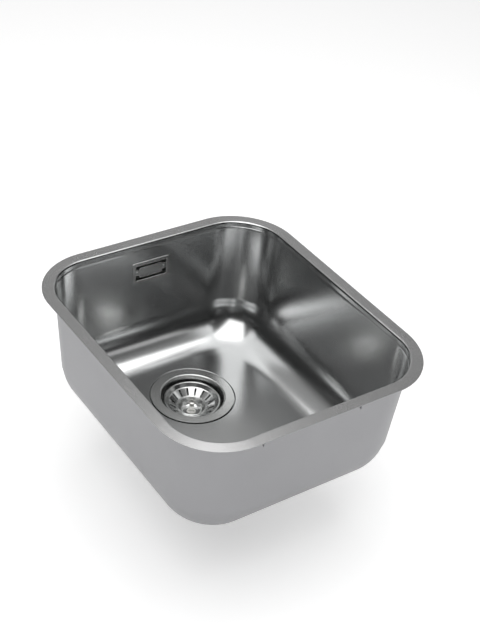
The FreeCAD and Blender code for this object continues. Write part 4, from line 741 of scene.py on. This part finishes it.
class MakeKnob(bpy.types.Operator):
    """Spin the knob that stands in the basket's dish"""
    bl_idname = "sink.knob"
    bl_label = "Knob"

    def execute(self, context):
        s = sizes()[2]
        bm = bmesh.new()
        foot, high, bore = -s.dish_depth, s.knob_height, s.stem_radius + 0.05 * MM
        turned(bm, [
            (0, foot + 0.7 * high, 0), (bore, foot + 0.7 * high, 0), (bore, foot, 0),
            (s.knob_base - 0.3 * MM, foot, 0.15 * MM),
            (s.knob_base, foot + 0.3 * MM, 0.15 * MM), (s.knob_base, foot + 0.05 * high, 0.3 * MM),
            (s.knob_neck, foot + 0.26 * high, 0.3 * high), (s.knob_neck, foot + 0.8 * high, MM),
            (s.knob_cap, foot + 0.88 * high, 0.35 * MM), (s.knob_cap, foot + 0.95 * high, 0.7 * MM),
            (0.62 * s.knob_cap, foot + high, 3 * MM), (0, foot + high, 0)], 64, 8)
        bmesh.ops.recalc_face_normals(bm, faces=bm.faces)
        crisp(bm, 50)
        seat_waste(bm)
        publish("basket_knob_turning", bm, ["satin_nickel"], "basket", ["basket_knob"])
        return {"FINISHED"}


class MakeStem(bpy.types.Operator):
    """Finish the stem under the basket, its seal, washer and spring ring"""
    bl_idname = "sink.stem"
    bl_label = "Stem and seal"

    def execute(self, context):
        carry("basket",
              ("basket_stem", "zinc_plated_steel", "stem_steel", 0.0),
              ("basket_seal", "nitrile_rubber", "seal_rubber", 0.25),
              ("seal_washer", "zinc_plated_steel", "screw_steel", 0.15),
              ("stem_catch", "zinc_plated_steel", "clamp_steel", 0.1))
        return {"FINISHED"}


def stand_up(bm):
    """Stand what was drawn flat, facing up, against the inner face of the rear wall."""
    bowl, _, _, over = sizes()
    lean = (over.depth - bowl.neck_depth) * math.tan(bowl.wall_draft)
    place = (over.offset, bowl.opening_length / 2 - bowl.neck_step - lean, -over.depth)
    turn = Matrix.Rotation(math.pi / 2 - bowl.wall_draft, 4, "X")
    bmesh.ops.transform(bm, matrix=Matrix.Translation(place) @ turn, verts=bm.verts)


def strap(bm, low, high):
    """A strip of sheet between two corners, its edges just broken."""
    made = bmesh.ops.create_cube(bm, size=1.0)["verts"]
    bmesh.ops.scale(bm, vec=Vector(high) - Vector(low), verts=made)
    bmesh.ops.translate(bm, vec=(Vector(low) + Vector(high)) / 2, verts=made)
    bmesh.ops.bevel(bm, geom=list({e for v in made for e in v.link_edges}), affect="EDGES", offset=0.12 * MM,
                    segments=2, profile=0.5, material=-1)


class MakeOverflowFrame(bpy.types.Operator):
    """Draw the overflow's frame, its lip through the wall and its two ears"""
    bl_idname = "sink.overflow_frame"
    bl_label = "Overflow frame"

    def execute(self, context):
        s = sizes()[3]
        soft = s.frame_edge
        bm = bmesh.new()
        outer = (s.frame_width / 2, s.frame_height / 2, s.frame_corner)
        mouth = (s.mouth_width / 2, s.mouth_height / 2, s.mouth_corner)
        lip = tuple(m + s.lip_thickness for m in mouth)
        front, back = s.frame_thickness, -s.lip_length
        loop = rounded_loop(bm, *outer, 0, 6)
        start = loop
        for shape, grow, height in (
                (outer, 0, front - soft), (outer, -soft * 0.3, front - soft * 0.3), (outer, -soft, front),
                (mouth, soft, front), (mouth, soft * 0.3, front - soft * 0.3), (mouth, 0, front - soft),
                (mouth, 0, back), (lip, 0, back), (lip, 0, 0)):
            loop = draw_out(bm, loop, *[max(size + grow, 0.2 * MM) for size in shape], height)
        bmesh.ops.bridge_loops(bm, edges=start + loop)
        bmesh.ops.recalc_face_normals(bm, faces=bm.faces)
        reach = mouth[0] + s.lip_thickness / 2
        for left, right in ((-reach, s.ear_width - reach), (reach - s.ear_width, reach)):
            strap(bm, (left, -s.ear_height / 2, back), (right, s.ear_height / 2, back + s.ear_thickness))
        crisp(bm, 50)
        stand_up(bm)
        publish("overflow_frame_pressing", bm, ["tumbled_steel"], "sink", ["overflow_frame"])
        return {"FINISHED"}


class MakeOverflowPlate(bpy.types.Operator):
    """Draw the overflow's cover plate with the tongue at each end that the screws hold"""
    bl_idname = "sink.overflow_plate"
    bl_label = "Overflow plate"

    def execute(self, context):
        s = sizes()[3]
        soft, proud, thick = s.plate_edge, s.plate_proud, s.plate_thickness
        bm = bmesh.new()
        plate = (s.plate_width / 2, s.plate_height / 2, s.mouth_corner)
        loop = rounded_loop(bm, *plate, proud - thick, 6)
        bmesh.ops.contextual_create(bm, geom=loop)
        for grow, height in ((0, proud - soft), (-soft * 0.3, proud - soft * 0.3), (-soft, proud)):
            loop = draw_out(bm, loop, *[size + grow for size in plate], height)
        bmesh.ops.contextual_create(bm, geom=loop)
        low, tall = -s.lip_length + s.ear_thickness, s.tongue_height / 2
        start, end = s.plate_width / 2 - thick, s.mouth_width / 2 - s.lip_clearance
        # each tongue is one bent strip: down behind the plate, then out to the ear
        bend = [(start, low), (end, low), (end, low + thick), (s.plate_width / 2, low + thick),
                (s.plate_width / 2, proud - thick / 2), (start, proud - thick / 2)]
        for side in (-1, 1):
            points = [bm.verts.new((side * x, -tall, z)) for x, z in bend]
            face = bmesh.ops.contextual_create(bm, geom=points)["faces"]
            far_side = bmesh.ops.extrude_face_region(bm, geom=face, use_keep_orig=True)["geom"]
            bmesh.ops.translate(bm, vec=(0, 2 * tall, 0), verts=vertices(far_side))
        bmesh.ops.recalc_face_normals(bm, faces=bm.faces)
        crisp(bm, 50)
        stand_up(bm)
        publish("overflow_plate_pressing", bm, ["tumbled_steel"], "sink", ["overflow_plate"])
        return {"FINISHED"}


class MakeOverflowScrews(bpy.types.Operator):
    """Spin an overflow screw, press the cross into its head and set it at both ends of the plate"""
    bl_idname = "sink.overflow_screws"
    bl_label = "Overflow screws"

    def execute(self, context):
        s = sizes()[3]
        head, tall, shank, end = s.fixing_head, s.fixing_head_height, s.fixing_radius, -s.fixing_length
        bm = bmesh.new()
        turned(bm, [(0, end, 0), (0.6 * shank, end, 0.2 * MM), (shank, end + 0.8 * shank, 0.2 * MM),
                    (shank, 0, 0), (head, 0, 0.15 * MM), (head, 0.5 * tall, 0.5 * MM),
                    (0.68 * head, tall, MM), (0.5 * head, tall, 0)], 48)
        brow = [e for e in bm.edges if e.is_boundary]
        # the cross: a grid of nine faces without its corners, sunk into the head
        arm, half = s.recess_arm, s.recess_width / 2
        grid = bmesh.ops.create_grid(bm, x_segments=3, y_segments=3, size=arm,
                                     matrix=Matrix.Translation((0, 0, tall)))["verts"]
        for v in grid:
            for axis in (0, 1):
                if abs(v.co[axis]) < arm / 2:
                    v.co[axis] = math.copysign(half, v.co[axis])
        cross = {f for v in grid for f in v.link_faces}
        corners = {f for f in cross if min(abs(c) for c in f.calc_center_median().xy) > half}
        bmesh.ops.delete(bm, geom=list(corners), context="FACES")
        cross = list(cross - corners)
        outline = list({e for f in cross for e in f.edges if e.is_boundary})
        bmesh.ops.triangle_fill(bm, use_beauty=True, edges=brow + outline, normal=(0, 0, 1))
        sunk = bmesh.ops.extrude_face_region(bm, geom=cross)["geom"]
        bmesh.ops.translate(bm, vec=(0, 0, -s.recess_depth), verts=vertices(sunk))
        bmesh.ops.delete(bm, geom=[f for f in cross if f.is_valid], context="FACES")
        bmesh.ops.recalc_face_normals(bm, faces=bm.faces)
        crisp(bm)
        other = bmesh.ops.duplicate(bm, geom=[*bm.verts, *bm.edges, *bm.faces])["geom"]
        bmesh.ops.translate(bm, vec=(s.fixing_pitch, 0, 0), verts=vertices(other))
        seat = -s.lip_length + s.ear_thickness + s.plate_thickness
        bmesh.ops.translate(bm, vec=(-s.fixing_pitch / 2, 0, seat), verts=bm.verts)
        stand_up(bm)
        publish("overflow_screws_headed", bm, ["zinc_plated_steel"], "sink", ["overflow_screws"])
        return {"FINISHED"}


class MakeStage(bpy.types.Operator):
    """Set up the pale floor, the soft lamps, the world and the camera"""
    bl_idname = "sink.stage"
    bl_label = "Stage"

    def execute(self, context):
        scene = context.scene
        bm = bmesh.new()
        bmesh.ops.create_grid(bm, x_segments=1, y_segments=1, size=12)
        bmesh.ops.translate(bm, vec=(0, 0, CAD_BOX[0][2] - 0.4 * MM), verts=bm.verts)
        mesh = bpy.data.meshes.new("studio_floor")
        bm.to_mesh(mesh)
        bm.free()
        floor = bpy.data.objects.new("studio_floor", mesh)
        scene.collection.objects.link(floor)
        # white paper, which glows to a plain white where it is seen or mirrored
        glow = 0.51
        material, tree, shader = new_material("white_paper")
        shader.inputs["Base Color"].default_value = shade(scene.sink_colours.floor, 1.0)
        shader.inputs["Roughness"].default_value = 0.9
        path = add(tree, "ShaderNodeLightPath").outputs
        seen = path["Is Camera Ray"]
        for ray in ("Is Glossy Ray", "Is Transmission Ray"):
            seen = add(tree, "ShaderNodeMath", {0: seen, 1: path[ray]}, operation="MAXIMUM").outputs[0]
        strength = add(tree, "ShaderNodeMath", {0: seen, 1: glow}, operation="MULTIPLY").outputs[0]
        shader.inputs["Emission Color"].default_value = (1, 1, 1, 1)
        tree.links.new(strength, shader.inputs["Emission Strength"])
        mesh.materials.append(material)

        # the studio: dark walls, a pale ceiling and a paler far wall; plain white as a backdrop
        world = bpy.data.worlds.new("studio")
        scene.world = world
        world.use_nodes = True
        tree = world.node_tree
        tree.nodes.clear()
        away = add(tree, "ShaderNodeTexCoord").outputs["Generated"]
        upward = add(tree, "ShaderNodeSeparateXYZ", {"Vector": away}).outputs["Z"]
        far_side = (0.57, 0.82, 0.0)
        toward = add(tree, "ShaderNodeVectorMath", {0: away, 1: far_side},
                     operation="DOT_PRODUCT").outputs["Value"]
        level = add(tree, "ShaderNodeLightPath").outputs["Is Camera Ray"]
        # ceiling, then far wall: each fades with a ray's height and side, from a start to an end
        for by_height, by_side in (((0.4, 0.75, 0.03, 0.4), (-0.5, 0.2, 0.15, 1.0)),
                                   ((0.5, 0.64, 0.6, 0.34), (0.55, 0.84, 0.0, 1.0))):
            fades = [add(tree, "ShaderNodeMapRange", {
                "Value": value, "From Min": start, "From Max": end, "To Min": low, "To Max": high},
                interpolation_type="SMOOTHSTEP").outputs["Result"]
                for value, (start, end, low, high) in ((upward, by_height), (toward, by_side))]
            part = add(tree, "ShaderNodeMath", {0: fades[0], 1: fades[1]}, operation="MULTIPLY").outputs[0]
            level = add(tree, "ShaderNodeMath", {0: level, 1: part}, operation="MAXIMUM").outputs[0]
        sky = add(tree, "ShaderNodeBackground", {"Color": (1, 1, 1, 1), "Strength": level})
        add(tree, "ShaderNodeOutputWorld", {"Surface": sky.outputs["Background"]})

        # each lamp: its place, the point it faces, its turn in degrees, its two sides and its watts
        for name, place, aim, turn, width, height, power in (
                ("overhead_softbox", (-0.453, -0.267, 1.85), (-0.453, -0.267, 0), 35, 3.1, 1.82, 38.5),
                ("rear_strip", (0.79, 1.06, 1.7), (0, 0.02, -0.1), 0, 0.16, 0.5, 0.9),
                ("right_softbox", (0.95, -1.6, 1.25), (0, 0.02, -0.1), 0, 0.6, 0.4, 0.6)):
            lamp = bpy.data.lights.new(name, "AREA")
            lamp.shape = "RECTANGLE"
            lamp.size, lamp.size_y, lamp.energy = width, height, power
            holder = bpy.data.objects.new(name, lamp)
            facing = (Vector(aim) - Vector(place)).to_track_quat("-Z", "Y").to_matrix().to_4x4()
            spin = Matrix.Rotation(math.radians(turn), 4, "Z")
            holder.matrix_world = Matrix.Translation(place) @ facing @ spin
            scene.collection.objects.link(holder)

        # the photograph's camera: azimuth -37.44, elevation 36.16, roll 6.26 degrees
        place, ahead = (-0.7857, -1.0486, 0.9579), Vector((0.49076, 0.64108, -0.59006))
        roll = math.radians(6.26)
        focal_pixels, picture_pixels, sensor = 1283.79, 640, 36
        ahead.normalize()
        right = ahead.cross(Vector((0, 0, 1))).normalized()
        up = right.cross(ahead)
        across = right * math.cos(roll) + up * math.sin(roll)
        upright = -right * math.sin(roll) + up * math.cos(roll)
        camera = bpy.data.cameras.new("camera")
        camera.sensor_fit = "VERTICAL"
        camera.sensor_height = sensor
        camera.lens = focal_pixels * sensor / picture_pixels
        camera.clip_end = 50
        view = bpy.data.objects.new("camera", camera)
        turn = Matrix((across, upright, -ahead)).transposed().to_4x4()
        view.matrix_world = Matrix.Translation(place) @ turn
        scene.collection.objects.link(view)
        scene.camera = view
        scene.view_settings.view_transform = "Standard"
        return {"FINISHED"}


class SinkPanel(bpy.types.Panel):
    """Lists the sink's pieces"""
    bl_idname = "VIEW3D_PT_sink"
    bl_label = "Undermount sink"
    bl_space_type = "VIEW_3D"
    bl_region_type = "UI"
    bl_category = "Sink"

    def draw(self, context):
        for operator in OPERATORS:
            self.layout.operator(operator.bl_idname)
        for group in GROUPS:
            held = getattr(context.scene, group)
            box = self.layout.box()
            for name in held.bl_rna.properties.keys():
                if name not in ("rna_type", "name"):
                    box.prop(held, name)


GROUPS = {"bowl_sizes": BowlSizes, "waste_sizes": WasteSizes, "basket_sizes": BasketSizes,
          "overflow_sizes": OverflowSizes, "sink_colours": SinkColours}
OPERATORS = (MakeBowl, MakeBrackets, MakePad, MakeGaskets, MakeMouldings, MakeFixings, MakeCup, MakeBasket,
             MakeKnob, MakeStem, MakeOverflowFrame, MakeOverflowPlate, MakeOverflowScrews, MakeStage)
CLASSES = (*GROUPS.values(), *OPERATORS, SinkPanel)


def register():
    for cls in CLASSES:
        bpy.utils.register_class(cls)
    for name, cls in GROUPS.items():
        setattr(bpy.types.Scene, name, PointerProperty(type=cls))


def unregister():
    for name in GROUPS:
        delattr(bpy.types.Scene, name)
    for cls in reversed(CLASSES):
        bpy.utils.unregister_class(cls)


def main():
    register()
    bpy.ops.sink.bowl()
    bpy.ops.sink.brackets()
    bpy.ops.sink.pad()
    bpy.ops.sink.gaskets()
    bpy.ops.sink.mouldings()
    bpy.ops.sink.fixings()
    bpy.ops.sink.strainer_cup()
    bpy.ops.sink.basket()
    bpy.ops.sink.knob()
    bpy.ops.sink.stem()
    bpy.ops.sink.overflow_frame()
    bpy.ops.sink.overflow_plate()
    bpy.ops.sink.overflow_screws()
    bpy.ops.sink.stage()


if __name__ == "__main__":
    main()
